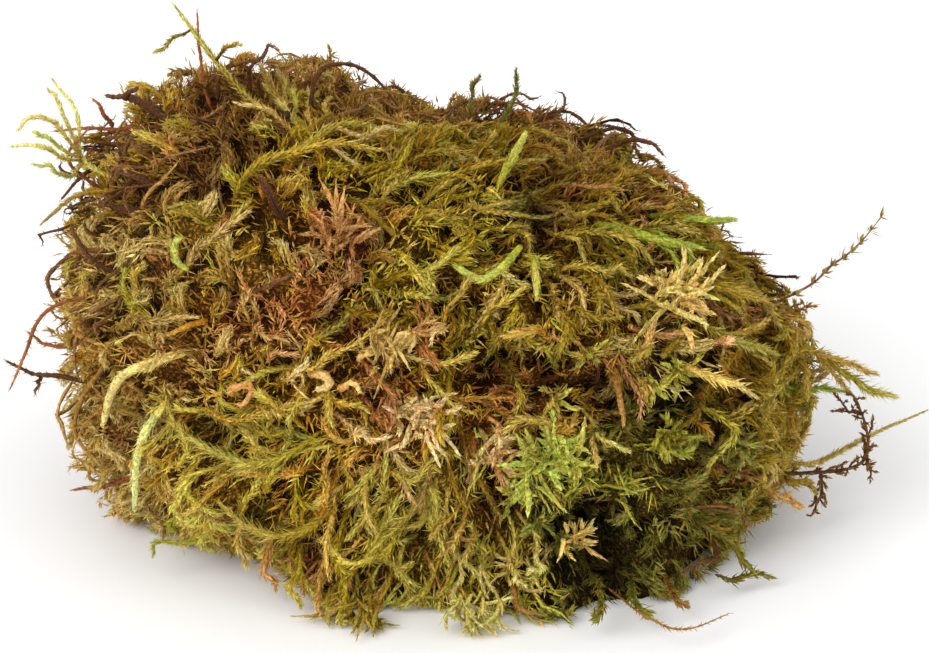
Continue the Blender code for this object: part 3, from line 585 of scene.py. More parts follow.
# Each row: across, up, size, heading, wander, sunk, glow, and what grows there.
FRONT = (
    # the high left shoulder and the crown: twigs over fine moss
    (-50, 29, 7, 160, 37.5, -0.5, 0, (FUZZ, GOLDEN, 2), (WIRE, BARK, 1.5), (WOOL, BROWN, 1)),
    (-42, 33, 7, 130, 37.5, 0, 0, (FUZZ, OLIVE, 2), (WIRE, BARK, 1), (WIRE, REDDISH, 0.6), (WOOL, BROWN, 1)),
    (-34, 36, 7, 110, 37.5, 0.6, -0.27, (FUZZ, BROWN, 1), (WOOL, BROWN, 1.5), (WOOL, BARK, 1), (WIRE, BARK, 1.2)),
    (-25, 36, 7, 80, 37.5, 0.8, -0.14, (FUZZ, OLIVE, 2), (WOOL, BROWN, 2), (WIRE, BROWN, 1)),
    (-15, 36, 8, 5, 30, 0, -0.08, (WOOL, BROWN, 2), (WOOL, BARK, 0.7), (FUZZ, FAWN, 1.5), (FUZZ, BROWN, 1),
     (WIRE, BROWN, 1)),
    (-4, 34.5, 8, -5, 30, 0, -0.15, (WOOL, BARK, 1), (WOOL, BROWN, 1), (FUZZ, BROWN, 2), (FUZZ, FAWN, 1),
     (WIRE, BARK, 0.8)),
    (9, 32, 8, -12, 26.25, 0, -0.24, (WOOL, BARK, 2), (WOOL, BROWN, 1), (FUZZ, BROWN, 2), (WIRE, BARK, 1)),
    (20, 29, 8, -22, 22.5, 0, -0.15, (WIRE, BARK, 1.5), (WOOL, BARK, 1), (BRAID, OLIVE, 2), (FUZZ, OLIVE, 1)),
    (29, 24, 7, -32, 18.75, 0, 0, (WIRE, BARK, 1), (BRAID, OLIVE, 2), (WOOL, BROWN, 1), (BRAID, BROWN, 1)),
    (-52, 22, 6, 190, 33.75, 0, 0.02, (WIRE, BARK, 1.5), (FUZZ, BROWN, 2), (FUZZ, OLIVE, 1)),
    (-44, 25, 6, 70, 30, 0.6, 0, (FUZZ, BROWN, 2), (WIRE, BARK, 1), (WOOL, BROWN, 1)),
    (-36, 29, 5, 60, 37.5, 1.5, 0.14, (FUZZ, BROWN, 2), (BRUSH, OLIVE, 1), (WIRE, REDDISH, 0.4)),
    (-28, 29, 6, 100, 33.75, 0, -0.02, (BRUSH, OLIVE, 1), (FUZZ, LIME, 2)),
    # the yellow-green band over the top
    (-20, 27, 7, 12, 18, 0, 0, (BRAID, OLIVE, 2), (FUZZ, LIME, 2), (BRUSH, LIME, 1)),
    (-8, 29, 8, 4, 15, 0, -0.04, (BRAID, OLIVE, 2), (FUZZ, LIME, 1), (FUZZ, OLIVE, 2)),
    (4, 27, 8, -4, 15, 0, -0.22, (BRAID, OLIVE, 2), (FUZZ, OLIVE, 2), (WIRE, BROWN, 0.4)),
    (-12, 22, 7, 2, 15, 0, 0.22, (BRAID, OLIVE, 2), (FUZZ, OLIVE, 2), (FUZZ, GOLDEN, 1)),
    (0, 20, 8, -6, 13.5, 0, 0.3, (BRAID, OLIVE, 2), (FUZZ, LIME, 2), (BRAID, LIME, 1), (WIRE, BARK, 0.3)),
    (13, 24, 7, -15, 15, 0.5, -0.14, (BRAID, OLIVE, 2), (WIRE, BARK, 1), (WOOL, BROWN, 2)),
    (12, 18, 6, -35, 22.5, 0.5, -0.14, (WOOL, BROWN, 3), (BRAID, OLIVE, 1), (WIRE, BARK, 0.5)),
    (-4, 14, 6, -10, 37.5, 0, -0.11, (FUZZ, LIME, 2), (FUZZ, FRESH, 1), (FUZZ, DEEP, 0.6)),
    # the right side, hanging down to the right
    (19, 12, 6, -55, 18.75, 0.5, 0.08, (BRUSH, OLIVE, 2), (FUZZ, OLIVE, 1), (BRUSH, LIME, 1)),
    (22, 21, 6, -30, 15, 0, -0.18, (BRAID, OLIVE, 3), (BRUSH, OLIVE, 1), (WOOL, BROWN, 0.5)),
    (32, 20, 6, -30, 15, 0, 0.17, (BRAID, OLIVE, 2), (BRUSH, OLIVE, 1), (WOOL, FAWN, 1)),
    (30, 15, 6, -22, 16.5, 0, -0.2, (BRUSH, VIVID, 3), (BRAID, VIVID, 2), (FUZZ, LIME, 1)),
    (38, 12, 7, -35, 15, 0.4, -0.32, (BRAID, LIME, 2), (BRUSH, OLIVE, 1), (BRAID, OLIVE, 1)),
    (31, 8, 5, -40, 22.5, 0.2, 0.37, (WOOL, BROWN, 2), (BRUSH, OLIVE, 1)),
    (46, 3, 8, -38, 13.5, 0, -0.24, (BRUSH, OLIVE, 3), (BRAID, OLIVE, 1), (WIRE, BARK, 0.7)),
    (25, 5, 7, -45, 22.5, 0, 0.17, (BRUSH, OLIVE, 2), (FUZZ, FAWN, 2), (BRUSH, FAWN, 1)),
    (45, -4, 7, -30, 22.5, 0, -0.36, (BRUSH, OLIVE, 2), (FUZZ, FAWN, 1), (FUZZ, OLIVE, 1), (WIRE, BARK, 0.4)),
    (50, -10, 7, -40, 26.25, 0, 0.1, (FUZZ, OLIVE, 2), (BRUSH, OLIVE, 2), (FUZZ, FAWN, 1)),
    # fine fawn, rusty and golden moss, left of the middle
    (-18, 15.5, 6, 40, 52.5, 0, 0, (WOOL, RUST, 2), (FUZZ, RUST, 2), (FUZZ, FAWN, 1)),
    (-37, 19, 7, 200, 45, 0, 0.04, (FUZZ, GOLDEN, 2), (FUZZ, LIME, 2), (FUZZ, OLIVE, 1)),
    (-28, 20, 6, 30, 45, 0, -0.14, (FUZZ, GOLDEN, 1), (FUZZ, BROWN, 1), (WOOL, FAWN, 1)),
    (-46, 16, 6, 90, 52.5, 0, 0.22, (FUZZ, LIME, 2), (FUZZ, FAWN, 2), (TENDRIL, LIME, 1)),
    (-42, 10, 7, 90, 45, 0, 0.38, (FUZZ, LIME, 2), (FUZZ, FAWN, 2), (TENDRIL, LIME, 1)),
    (-33, 11, 7, 20, 45, 0, 0.22, (FUZZ, FAWN, 2), (FUZZ, LIME, 2), (WOOL, FAWN, 1)),
    (-25, 10, 6, 30, 37.5, 0, 0.26, (FUZZ, RUST, 2), (FUZZ, GOLDEN, 1), (WOOL, RUST, 1)),
    (-55, 15, 6, 220, 37.5, 0, 0.41, (WIRE, BARK, 1), (FUZZ, FAWN, 2), (FUZZ, LIME, 1)),
    (-50, 8, 6, 100, 45, 0, 0.26, (FUZZ, RUST, 2), (FUZZ, FAWN, 2), (WOOL, FAWN, 1)),
    (-58, 7, 6, 230, 37.5, 0, 0.39, (FUZZ, FAWN, 2), (WIRE, BARK, 1), (FUZZ, LIME, 1)),
    (-54, 0, 7, 60, 45, 0, 0.05, (FUZZ, FAWN, 3), (WOOL, FAWN, 2), (FUZZ, LIME, 1)),
    (-60, -6, 7, 250, 37.5, 0, -0.08, (FUZZ, FAWN, 2), (WOOL, BROWN, 1), (WOOL, FAWN, 1), (WIRE, BARK, 0.5)),
    (-42, 3, 6, 25, 26.25, 0, -0.22, (FUZZ, LIME, 1), (FUZZ, FAWN, 2), (WOOL, RUST, 1)),
    (-32, 3, 7, 25, 22.5, 0, -0.04, (WOOL, RUST, 2), (FUZZ, RUST, 2), (FUZZ, FAWN, 1), (WIRE, REDDISH, 0.6)),
    (-22, 1, 6, 15, 26.25, 0, -0.24, (FUZZ, RUST, 1), (BRUSH, GOLDEN, 1), (WOOL, RUST, 1), (BRUSH, LIME, 1)),
    (-44, -5, 7, 30, 30, 0, 0.18, (FUZZ, FAWN, 2), (WOOL, FAWN, 2), (WOOL, RUST, 1), (WIRE, REDDISH, 0.6)),
    (-59, -17, 8, 265, 26.25, 0, 0.52, (WOOL, FAWN, 2), (FUZZ, FAWN, 2), (WOOL, BROWN, 1), (WIRE, BROWN, 0.5)),
    # the middle
    (-13, 8, 7, -50, 37.5, 0, 0.46, (BRUSH, LIME, 2), (FUZZ, LIME, 2), (BRUSH, GOLDEN, 1)),
    (-3, 5, 7, -60, 37.5, 0, -0.08, (BRUSH, GOLDEN, 1), (FUZZ, FAWN, 2), (BRUSH, LIME, 1), (FUZZ, OLIVE, 1)),
    (8, 2, 7, -90, 26.25, 0, 0.1, (BRUSH, LIME, 2), (FUZZ, OLIVE, 2), (WOOL, BROWN, 1)),
    (17, 4, 6, -80, 26.25, 0, -0.14, (BRUSH, OLIVE, 3), (FUZZ, FAWN, 1), (FUZZ, OLIVE, 1)),
    (-14, -4, 6, -30, 52.5, 0, -0.1, (WOOL, RUST, 1), (BRUSH, GOLDEN, 2), (FUZZ, FAWN, 1), (TENDRIL, FAWN, 1)),
    (-26, -5, 6, 0, 30, 0, 0.36, (TENDRIL, FAWN, 1), (BRUSH, LIME, 2), (BRUSH, GOLDEN, 2)),
    (0, -5, 5, -70, 30, 0.3, -0.06, (BRUSH, LIME, 2), (BRUSH, ORANGE, 1), (HEADS, PEAT, 1)),
    (6, -9, 5, -70, 30, 0.8, -0.27, (BRUSH, ORANGE, 2), (WOOL, BROWN, 2)),
    (14, -9, 5, -50, 37.5, 0.8, -0.27, (BRUSH, ORANGE, 2), (WOOL, BROWN, 1)),
    (15, -3, 5, -70, 37.5, 0, 0.08, (HEADS, PEAT, 2), (FUZZ, FAWN, 1), (WOOL, RUST, 1)),
    (24, -6, 6, -60, 37.5, 0, 0, (FUZZ, FAWN, 2), (FUZZ, RUST, 1), (HEADS, PEAT, 1)),
    (34, -7, 6, -60, 37.5, 0, 0.64, (FUZZ, FAWN, 3), (BRUSH, FAWN, 1), (HEADS, PEAT, 1)),
    # golden feather moss, lower left
    (-37, -11, 7, 8, 22.5, 0, 0.34, (BRUSH, GOLDEN, 3), (BRUSH, LIME, 1), (FUZZ, GOLDEN, 1)),
    (-25, -12, 7, -10, 26.25, 0, 0.1, (BRUSH, GOLDEN, 3), (BRUSH, ORANGE, 1), (FUZZ, FAWN, 1)),
    (-13, -13, 6, -20, 30, 0, 0.16, (BRUSH, ORANGE, 2), (WOOL, RUST, 1), (FUZZ, RUST, 2)),
    (-35, -20, 7, 195, 22.5, 0, 0.32, (BRUSH, LIME, 3), (BRUSH, GOLDEN, 2)),
    (-8, -36, 4, 250, 30, 0.8, -0.12, (WOOL, BARK, 1), (BRUSH, OLIVE, 2)),
    (-23, 23, 5, 10, 22.5, 0.4, -0.25, (BRAID, OLIVE, 1), (WOOL, BROWN, 2)),
    (-43, 32, 4, 120, 45, 1.6, -0.15, (WOOL, BARK, 1), (FUZZ, BROWN, 1), (WIRE, BARK, 1)),
    (-44, -18, 5, 200, 30, 0.8, -0.37, (WOOL, BARK, 2), (BRUSH, GOLDEN, 1)),
    (-22, -22, 7, 250, 26.25, 0, 0.32, (BRUSH, GOLDEN, 2), (BRUSH, ORANGE, 2), (BRUSH, LIME, 1)),
    (-50, -19, 6, 265, 26.25, 0, 0.5, (FUZZ, LIME, 2), (WOOL, FAWN, 1), (BRUSH, LIME, 2)),
    (-47, -28, 6, 280, 30, 0, 0.1, (FUZZ, FAWN, 2), (BRUSH, GOLDEN, 2), (BRUSH, LIME, 1)),
    (-37, -29, 7, 250, 26.25, 0, 0.32, (BRUSH, LIME, 3), (BRUSH, GOLDEN, 2)),
    (-35, -34, 4, 250, 30, 1, -0.6, (WOOL, BARK, 3), (BRUSH, OLIVE, 1)),
    (-25, -31, 7, 260, 26.25, 0, 0.04, (BRUSH, LIME, 2), (BRUSH, GOLDEN, 2), (WOOL, BROWN, 1)),
    (-13, -23, 7, 215, 26.25, 0, 0.28, (BRUSH, GOLDEN, 2), (BRUSH, ORANGE, 1), (TENDRIL, FAWN, 1)),
    (-3, -17, 6, 240, 26.25, 0, -0.36, (BRUSH, ORANGE, 2), (BRUSH, GOLDEN, 2)),
    (-4, -26, 6, 250, 22.5, 0, 0.72, (BRUSH, LIME, 2), (BRUSH, GOLDEN, 2)),
    (-14, -35, 7, 255, 26.25, 0, 0.24, (BRUSH, LIME, 3), (TENDRIL, PEAT, 1), (BRUSH, OLIVE, 1)),
    (-28, -39, 6, 255, 30, 0, 0.02, (BRUSH, LIME, 2), (WOOL, FAWN, 1), (WOOL, RUST, 1)),
    (-20, -42, 6, 265, 30, 0, 0.54, (WOOL, RUST, 1), (BRUSH, OLIVE, 2), (WOOL, BROWN, 1)),
    # peat moss, lower right
    (5, -13, 6, -40, 30, 0.8, 0.14, (BRUSH, ORANGE, 2), (WOOL, RUST, 1), (BRUSH, LIME, 1)),
    (15, -15, 6, -20, 30, 0.6, 0.26, (BRUSH, ORANGE, 2), (HEADS, GOLDEN, 2), (FUZZ, GOLDEN, 1)),
    (13, -23, 7, -90, 45, 0, 0.44, (HEADS, PEAT, 4), (TENDRIL, PEAT, 2), (HEADS, FRESH, 1)),
    (26, -14, 6, -80, 45, 0.8, -0.32, (HEADS, DEEP, 2), (TENDRIL, PEAT, 1), (WOOL, BARK, 1)),
    (26, -23, 7, -80, 45, 0.6, 0.08, (HEADS, DEEP, 2), (HEADS, PEAT, 1), (TENDRIL, PEAT, 2)),
    (37, -14, 7, -60, 37.5, 0.4, -0.2, (HEADS, DEEP, 2), (BRUSH, DEEP, 2), (HEADS, PEAT, 0.7)),
    (42, -24, 7, -30, 37.5, 0, 0.04, (FUZZ, OLIVE, 2), (HEADS, DEEP, 1), (BRUSH, DEEP, 1)),
    (50, -20, 7, -20, 30, 0, 0.18, (FUZZ, OLIVE, 2), (BRUSH, OLIVE, 2), (FUZZ, FAWN, 1)),
    (40, -33, 7, -35, 30, 0, 0.06, (FUZZ, DEEP, 2), (BRUSH, DEEP, 2), (FUZZ, OLIVE, 1)),
    (24, -34, 7, -90, 45, 0.8, -0.47, (FUZZ, DEEP, 2), (HEADS, DEEP, 2), (WOOL, BARK, 1)),
    (31, -35, 5, -90, 45, 0.8, 0.52, (FUZZ, DEEP, 2), (BRUSH, DEEP, 2)),
    (14, -32, 5, -90, 37.5, 0.5, 0.43, (HEADS, DEEP, 2), (TENDRIL, PEAT, 2), (WOOL, BARK, 1)),
    (21, -42, 7, -85, 37.5, 0.6, -0.04, (HEADS, DEEP, 2), (FUZZ, DEEP, 2)),
    (33, -41, 6, -70, 37.5, 0.6, 0.22, (FUZZ, DEEP, 3), (BRUSH, DEEP, 1)),
    (6, -30, 5, -90, 37.5, 0.6, -0.17, (WOOL, BROWN, 2), (TENDRIL, FAWN, 1), (BRUSH, OLIVE, 1)),
    (-2, -39, 7, -92, 18.75, 0, 0.28, (TENDRIL, PEAT, 3), (BRUSH, LIME, 1), (BRUSH, OLIVE, 1), (TENDRIL, FAWN, 1)),
    (9, -41, 6, -92, 18.75, 0, 0.34, (TENDRIL, PEAT, 3), (TENDRIL, FAWN, 1), (BRUSH, OLIVE, 1)),
)
# The side that faces away. Each row: bearing, rise, and then as above.
BACK = (
    (110, 5, 22, -50, 22.5, 0, 0, (BRUSH, OLIVE, 3), (FUZZ, OLIVE, 2), (WOOL, FAWN, 1)),
    (135, 30, 22, -70, 18.75, 0, 0, (BRAID, OLIVE, 3), (FUZZ, LIME, 2), (WOOL, BROWN, 1)),
    (140, -10, 22, -90, 30, 0, 0, (HEADS, DEEP, 1), (BRUSH, LIME, 2), (FUZZ, OLIVE, 2)),
    (165, 10, 22, -110, 26.25, 0, 0, (BRUSH, GOLDEN, 2), (BRUSH, LIME, 2), (WOOL, FAWN, 1)),
    (180, 45, 22, 180, 18.75, 0, -0.1, (BRAID, OLIVE, 2), (FUZZ, BROWN, 2), (WOOL, BROWN, 2)),
    (185, -15, 20, -90, 26.25, 0, 0, (BRUSH, GOLDEN, 2), (TENDRIL, PEAT, 1), (FUZZ, OLIVE, 2)),
    (205, 20, 22, -80, 26.25, 0, 0, (BRUSH, LIME, 2), (WOOL, RUST, 1), (FUZZ, LIME, 1)),
    (230, 40, 20, -60, 33.75, 0, 0, (FUZZ, GOLDEN, 2), (WOOL, BROWN, 2), (WIRE, BROWN, 1)),
    (230, -8, 20, -90, 30, 0, 0, (BRUSH, LIME, 1), (HEADS, PEAT, 1), (FUZZ, OLIVE, 2)),
    (255, 10, 20, -90, 30, 0, 0, (WOOL, FAWN, 2), (FUZZ, FAWN, 2), (WIRE, BROWN, 1)),
    (-90, 78, 18, 10, 30, 0, -0.12, (BRAID, OLIVE, 1), (FUZZ, BROWN, 2), (WOOL, BROWN, 2)),
    (90, 70, 20, -20, 18.75, 0, -0.12, (BRAID, OLIVE, 2), (WOOL, BROWN, 2), (FUZZ, BROWN, 1)),
)
PATCHES = patches(FRONT, False) + patches(BACK, True)


@dataclass
class Crop:
    """The roots of one sort of moss, and how its strands grow from them."""

    roots: Array
    headings: Array  # which way the strands start
    sunk: Array  # how much deeper they lie
    glow: Array  # how much paler they are: riper moss, and painted light on what stands high and painted shade on what sinks

    def chosen(self, mine: Array) -> "Crop":
        """Only these of the roots."""
        return Crop(self.roots[mine], self.headings[mine], self.sunk[mine], self.glow[mine])

    def several(self, number: int, apart: float, rng: Random) -> "Crop":
        """This many strands near each root, instead of one."""
        many = self.chosen(np.repeat(np.arange(len(self.roots)), number))
        many.roots = many.roots + rng.normal(0, apart, many.roots.shape)
        many.headings = unit(many.headings + rng.normal(0, 0.3, many.headings.shape))
        many.glow = many.glow + rng.normal(0, 0.06, len(many.glow))
        return many


@dataclass
class Bed:
    """Where everything on the mat is rooted, and which way it grows."""

    ground: Ground
    rng: Random
    gap_seen: float = 3.65  # between roots on the side that faces the eye
    gap_behind: float = 5.5
    over_edge: float = -0.12  # the cosine to the eye past which a place counts as behind
    tries: int = 9  # places tried for each that there is room for
    highest: float = 4.6  # no strand of it stands further off the mat's form
    centres: Array = field(init=False)
    sizes: Array = field(init=False)
    behind: Array = field(init=False)
    sunk: Array = field(init=False)
    glow: Array = field(init=False)

    def __post_init__(self) -> None:
        """Gathers what the patches say, one row for each."""
        self.centres = np.array([self.centre(p) for p in PATCHES])
        self.sizes = np.array([p.size for p in PATCHES])
        self.behind = np.array([p.behind for p in PATCHES])
        self.sunk = np.array([p.sunk for p in PATCHES], dtype=float)
        self.glow = np.array([p.glow for p in PATCHES], dtype=float)

    def centre(self, patch: Patch) -> Array:
        """The middle of a patch on the mat."""
        return self.ground.turned(*patch.spot) if patch.behind else self.ground.seen(*patch.spot)

    def roots(self) -> Array:
        """Places spread evenly over the mat, all but its underside."""
        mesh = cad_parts["moss_mat"].data
        mesh.calc_loop_triangles()
        points = corners_of(mesh)
        tris = np.empty(len(mesh.loop_triangles) * 3, dtype=int)
        mesh.loop_triangles.foreach_get("vertices", tris)
        a, b, c = (points[tris.reshape(-1, 3)[:, i]] for i in range(3))
        area = np.linalg.norm(np.cross(b - a, c - a), axis=1) / 2
        area[(a[:, 2] < 0.01) & (b[:, 2] < 0.01) & (c[:, 2] < 0.01)] = 0
        tries = int(area.sum() / self.gap_seen**2 * self.tries)
        pick = self.rng.choice(len(area), tries, p=area / area.sum())
        u, v = self.rng.uniform(0, 1, (2, tries, 1))
        flip = u + v > 1
        u, v = np.where(flip, 1 - u, u), np.where(flip, 1 - v, v)
        found = a[pick] + (b[pick] - a[pick]) * u + (c[pick] - a[pick]) * v
        found = found[found[:, 2] > 0.3]
        return thinned(found, np.where(self.faces_eye(found), self.gap_seen, self.gap_behind))

    def faces_eye(self, places: Array) -> Array:
        """Whether each place is on the side that faces the eye, or just over its edge."""
        return (dot(self.ground.outward(places), unit(EYE - places)) > self.over_edge)[:, 0]

    def away(self, places: Array, other_side: float) -> Array:
        """How far each place is from each patch, in the patch's sizes.

        Args:
            places: the places.
            other_side: what is added between a place in front and a patch behind.

        Returns:
            A row for each place, with a column for each patch.
        """
        found = np.linalg.norm(places[:, None] - self.centres[None], axis=-1) / self.sizes
        found[np.ix_(self.faces_eye(places), self.behind)] += other_side
        return found

    def patch_rows(self, roots: Array) -> Array:
        """Which patch each root belongs to."""
        away = self.away(roots, 9.0)
        return (away + self.rng.uniform(0, 0.3, away.shape)).argmin(1)

    def blended(self, places: Array) -> tuple[Array, Array]:
        """The mean colour of the old growth at each place, and how much deeper it lies there."""
        share = np.exp(-3.5 * self.away(places, 2.0) ** 2) + 1e-12
        share = share / share.sum(1, keepdims=True)
        return share @ np.array([p.under() for p in PATCHES]), share @ self.sunk

    def headings(self, roots: Array, rows: Array) -> Array:
        """The direction in which each root's strand starts, along the mat."""
        out = self.ground.outward(roots)
        found = np.empty_like(roots)
        for row, patch in enumerate(PATCHES):
            mine = rows == row
            if not mine.any():
                continue
            turn = np.radians(patch.heading + self.rng.normal(0, patch.wander, mine.sum()))[:, None]
            right, up = RIGHTWARD, UPWARD
            if patch.behind:
                away = unit(self.centres[row] - HEART)
                right = unit(np.cross((0, 0, 1), away))
                up = np.cross(away, right)
            found[mine] = np.cos(turn) * right + np.sin(turn) * up
        return unit(found - out * dot(found, out))

    def heaped_on(self, places: Array, depth: Array) -> Array:
        """The places, moved to this depth under the heaps and hollows of the growth."""
        return self.ground.settled(places, depth - HEAP * heaped(places) + self.ground.hollow(places))

    def laid(
        self,
        crop: Crop,
        lengths: tuple[float, float],
        points: int,
        depths: Sequence[float],
        bend: float,
        sway: float,
        scatter: float,
        proud: float = 0.12,
        rise: float = 3.2,
    ) -> Paths:
        """Strands that lie along the mat.

        Args:
            crop: where they are rooted and which way they start.
            lengths: how long the shortest and the longest are.
            points: how many points each has.
            depths: how deep a strand lies from its root to its tip.
            bend: how many degrees a strand turns from point to point.
            sway: how many degrees it wobbles to each side.
            scatter: how much deeper or shallower one tip lies than the next.
            proud: the share of them whose tips stand up.
            rise: how far those stand up at most.

        Returns:
            The strands.
        """
        rng, roots, way = self.rng, crop.roots, crop.headings
        many = (len(roots), 1)
        step = (rng.uniform(*lengths, len(roots)) / (points - 1))[:, None]
        share = np.linspace(0, 1, points)
        deep = np.interp(share, np.linspace(0, 1, len(depths)), depths)[None]
        deep = deep + rng.normal(0, scatter, many) * np.linspace(0.3, 1, points) + crop.sunk[:, None]
        risen = rng.uniform(1.0, rise, many) * (rng.uniform(0, 1, many) < proud)
        deep = np.maximum(deep - risen * share**2, -self.highest)
        place = self.heaped_on(roots, deep[:, 0])
        path = [place]
        turn = np.radians(rng.normal(0, bend, len(roots)))
        out = self.ground.outward(roots)
        for k in range(1, points):
            sharp = turn + np.radians(rng.normal(0, sway, len(roots)))
            across = np.cross(out, way)
            way = unit(np.cos(sharp)[:, None] * way + np.sin(sharp)[:, None] * across)
            place = self.heaped_on(place + way * step, deep[:, k])
            out = self.ground.outward(place)
            way = unit(way - out * dot(way, out))
            path.append(place)
        found = np.stack(path, axis=1)
        found[..., 2] = np.maximum(found[..., 2], LOWEST)
        return Paths(found, self.ground.outward(roots))


def thinned(points: Array, gaps: Array) -> Array:
    """The points that are left when none is nearer to an earlier one than its gap."""
    size = float(gaps.max())
    cells: dict[tuple[int, int, int], list[Array]] = {}
    kept = []
    for point, gap in zip(points, gaps):
        x, y, z = (int(c) for c in point // size)
        steps = [(i, j, k) for i in (-1, 0, 1) for j in (-1, 0, 1) for k in (-1, 0, 1)]
        near = [q for i, j, k in steps for q in cells.get((x + i, y + j, z + k), ())]
        if near and (np.linalg.norm(np.array(near) - point, axis=1) < gap).any():
            continue
        cells.setdefault((x, y, z), []).append(point)
        kept.append(point)
    return np.array(kept)


Socket = bpy.types.NodeSocket
Inputs = dict[str | int, object]


@dataclass
class Shading:
    """A material in the making, whose colour is each corner's tint times a shade."""

    name: str
    made: bpy.types.Material = field(init=False)
    place: Socket = field(init=False)  # where on the clump a point is

    def __post_init__(self) -> None:
        """Starts the material."""
        self.made = bpy.data.materials.new(self.name)
        self.made.use_nodes = True
        self.place = self.node("TexCoord", {}, "Object")

    def fill(self, node: bpy.types.Node, inputs: Inputs) -> None:
        """Links or sets the node's inputs."""
        for name, value in inputs.items():
            if isinstance(value, Socket):
                self.made.node_tree.links.new(value, node.inputs[name])
            else:
                node.inputs[name].default_value = value

    def node(self, kind: str, inputs: Inputs, out: str, **options: str) -> Socket:
        """Adds a node.

        Args:
            kind: its type, without the first word that all of them have.
            inputs: what each input is linked to or set to.
            out: the output that is wanted.
            options: its other settings.

        Returns:
            The output.
        """
        made = self.made.node_tree.nodes.new(f"ShaderNode{kind}")
        for name, value in options.items():
            setattr(made, name, value)
        self.fill(made, inputs)
        return made.outputs[out]

    def ranged(self, value: Socket, span: tuple[float, float], to: tuple[float, float]) -> Socket:
        """The value, brought from one range into another."""
        ends = zip(("From Min", "From Max", "To Min", "To Max"), (*span, *to))
        return self.node("MapRange", {"Value": value, **dict(ends)}, "Result")

    def times(self, one: Socket, other: Socket) -> Socket:
        """The product of two values."""
        return self.node("Math", {0: one, 1: other}, "Value", operation="MULTIPLY")

    def finished(self, shade: Socket, relief: Inputs, surface: Inputs) -> bpy.types.Material:
        """The material with this shade, this relief and this surface."""
        tint = self.node("Attribute", {}, "Color", attribute_name="tint")
        mixed = {"Factor": 1.0, "A": tint, "B": shade}
        colour = self.node("Mix", mixed, "Result", data_type="RGBA", blend_type="MULTIPLY")
        inputs = {"Base Color": colour, "Normal": self.node("Bump", relief, "Normal")}
        self.fill(self.made.node_tree.nodes["Principled BSDF"], inputs | surface)
        return self.made


@dataclass(frozen=True)
class Finish:
    """How a sort of moss takes the light."""

    name: str
    roughness: float
    mottle: float  # how strongly its colour varies over the clump
    speckle: float = 0.4  # how strongly it varies within a leaf

    def material(self) -> bpy.types.Material:
        """The finish as a material that multiplies each corner's tint by a mottled shade."""
        shading = Shading(self.name)
        broad = shading.node("TexNoise", {"Vector": shading.place, "Scale": 110.0, "Detail": 5.0}, "Fac")
        grain = shading.node("TexNoise", {"Vector": shading.place, "Scale": 2200.0}, "Fac")
        mottled = shading.ranged(broad, (0.3, 0.7), (1.0 - self.mottle, 1.0 + self.mottle))
        specks = shading.ranged(grain, (0.33, 0.67), (1.0 - self.speckle, 1.0 + self.speckle))
        surface = {
            "Roughness": self.roughness,
            "Specular IOR Level": 0.08,
            "Subsurface Weight": 0.4,
            "Subsurface Radius": (1.0, 0.7, 0.15),
            "Subsurface Scale": 0.0004,
        }
        relief = {"Height": grain, "Distance": 0.0001, "Strength": 0.5}
        return shading.finished(shading.times(mottled, specks), relief, surface)


def old_growth_finish() -> bpy.types.Material:
    """Matted old growth: each place's tint, parted into small leaves, each light or dark, with painted shade in the
    gaps between them.
    """
    shading = Shading("old_growth")
    noise = shading.node("TexNoise", {"Vector": shading.place, "Scale": 700.0, "Detail": 5.0}, "Color")
    shifts = {0: noise, 1: (0.0016, 0.0016, 0.0016), 2: shading.place}
    bent = shading.node("VectorMath", shifts, "Vector", operation="MULTIPLY_ADD")
    cells = shading.node("TexVoronoi", {"Vector": bent, "Scale": 1500.0}, "Color")
    away = cells.node.outputs["Distance"]
    each = shading.node("SeparateColor", {"Color": cells}, "Red")
    # painted shade in the gaps between the small leaves, times a random tone for each leaf
    shade = shading.times(
        shading.ranged(away, (0.15, 0.65), (1.35, 0.15)), shading.ranged(each, (0.0, 1.0), (0.35, 1.75))
    )
    relief = {"Height": shade, "Distance": 0.0008, "Strength": 1.0}
    return shading.finished(shade, relief, {"Roughness": 0.95, "Specular IOR Level": 0.1})


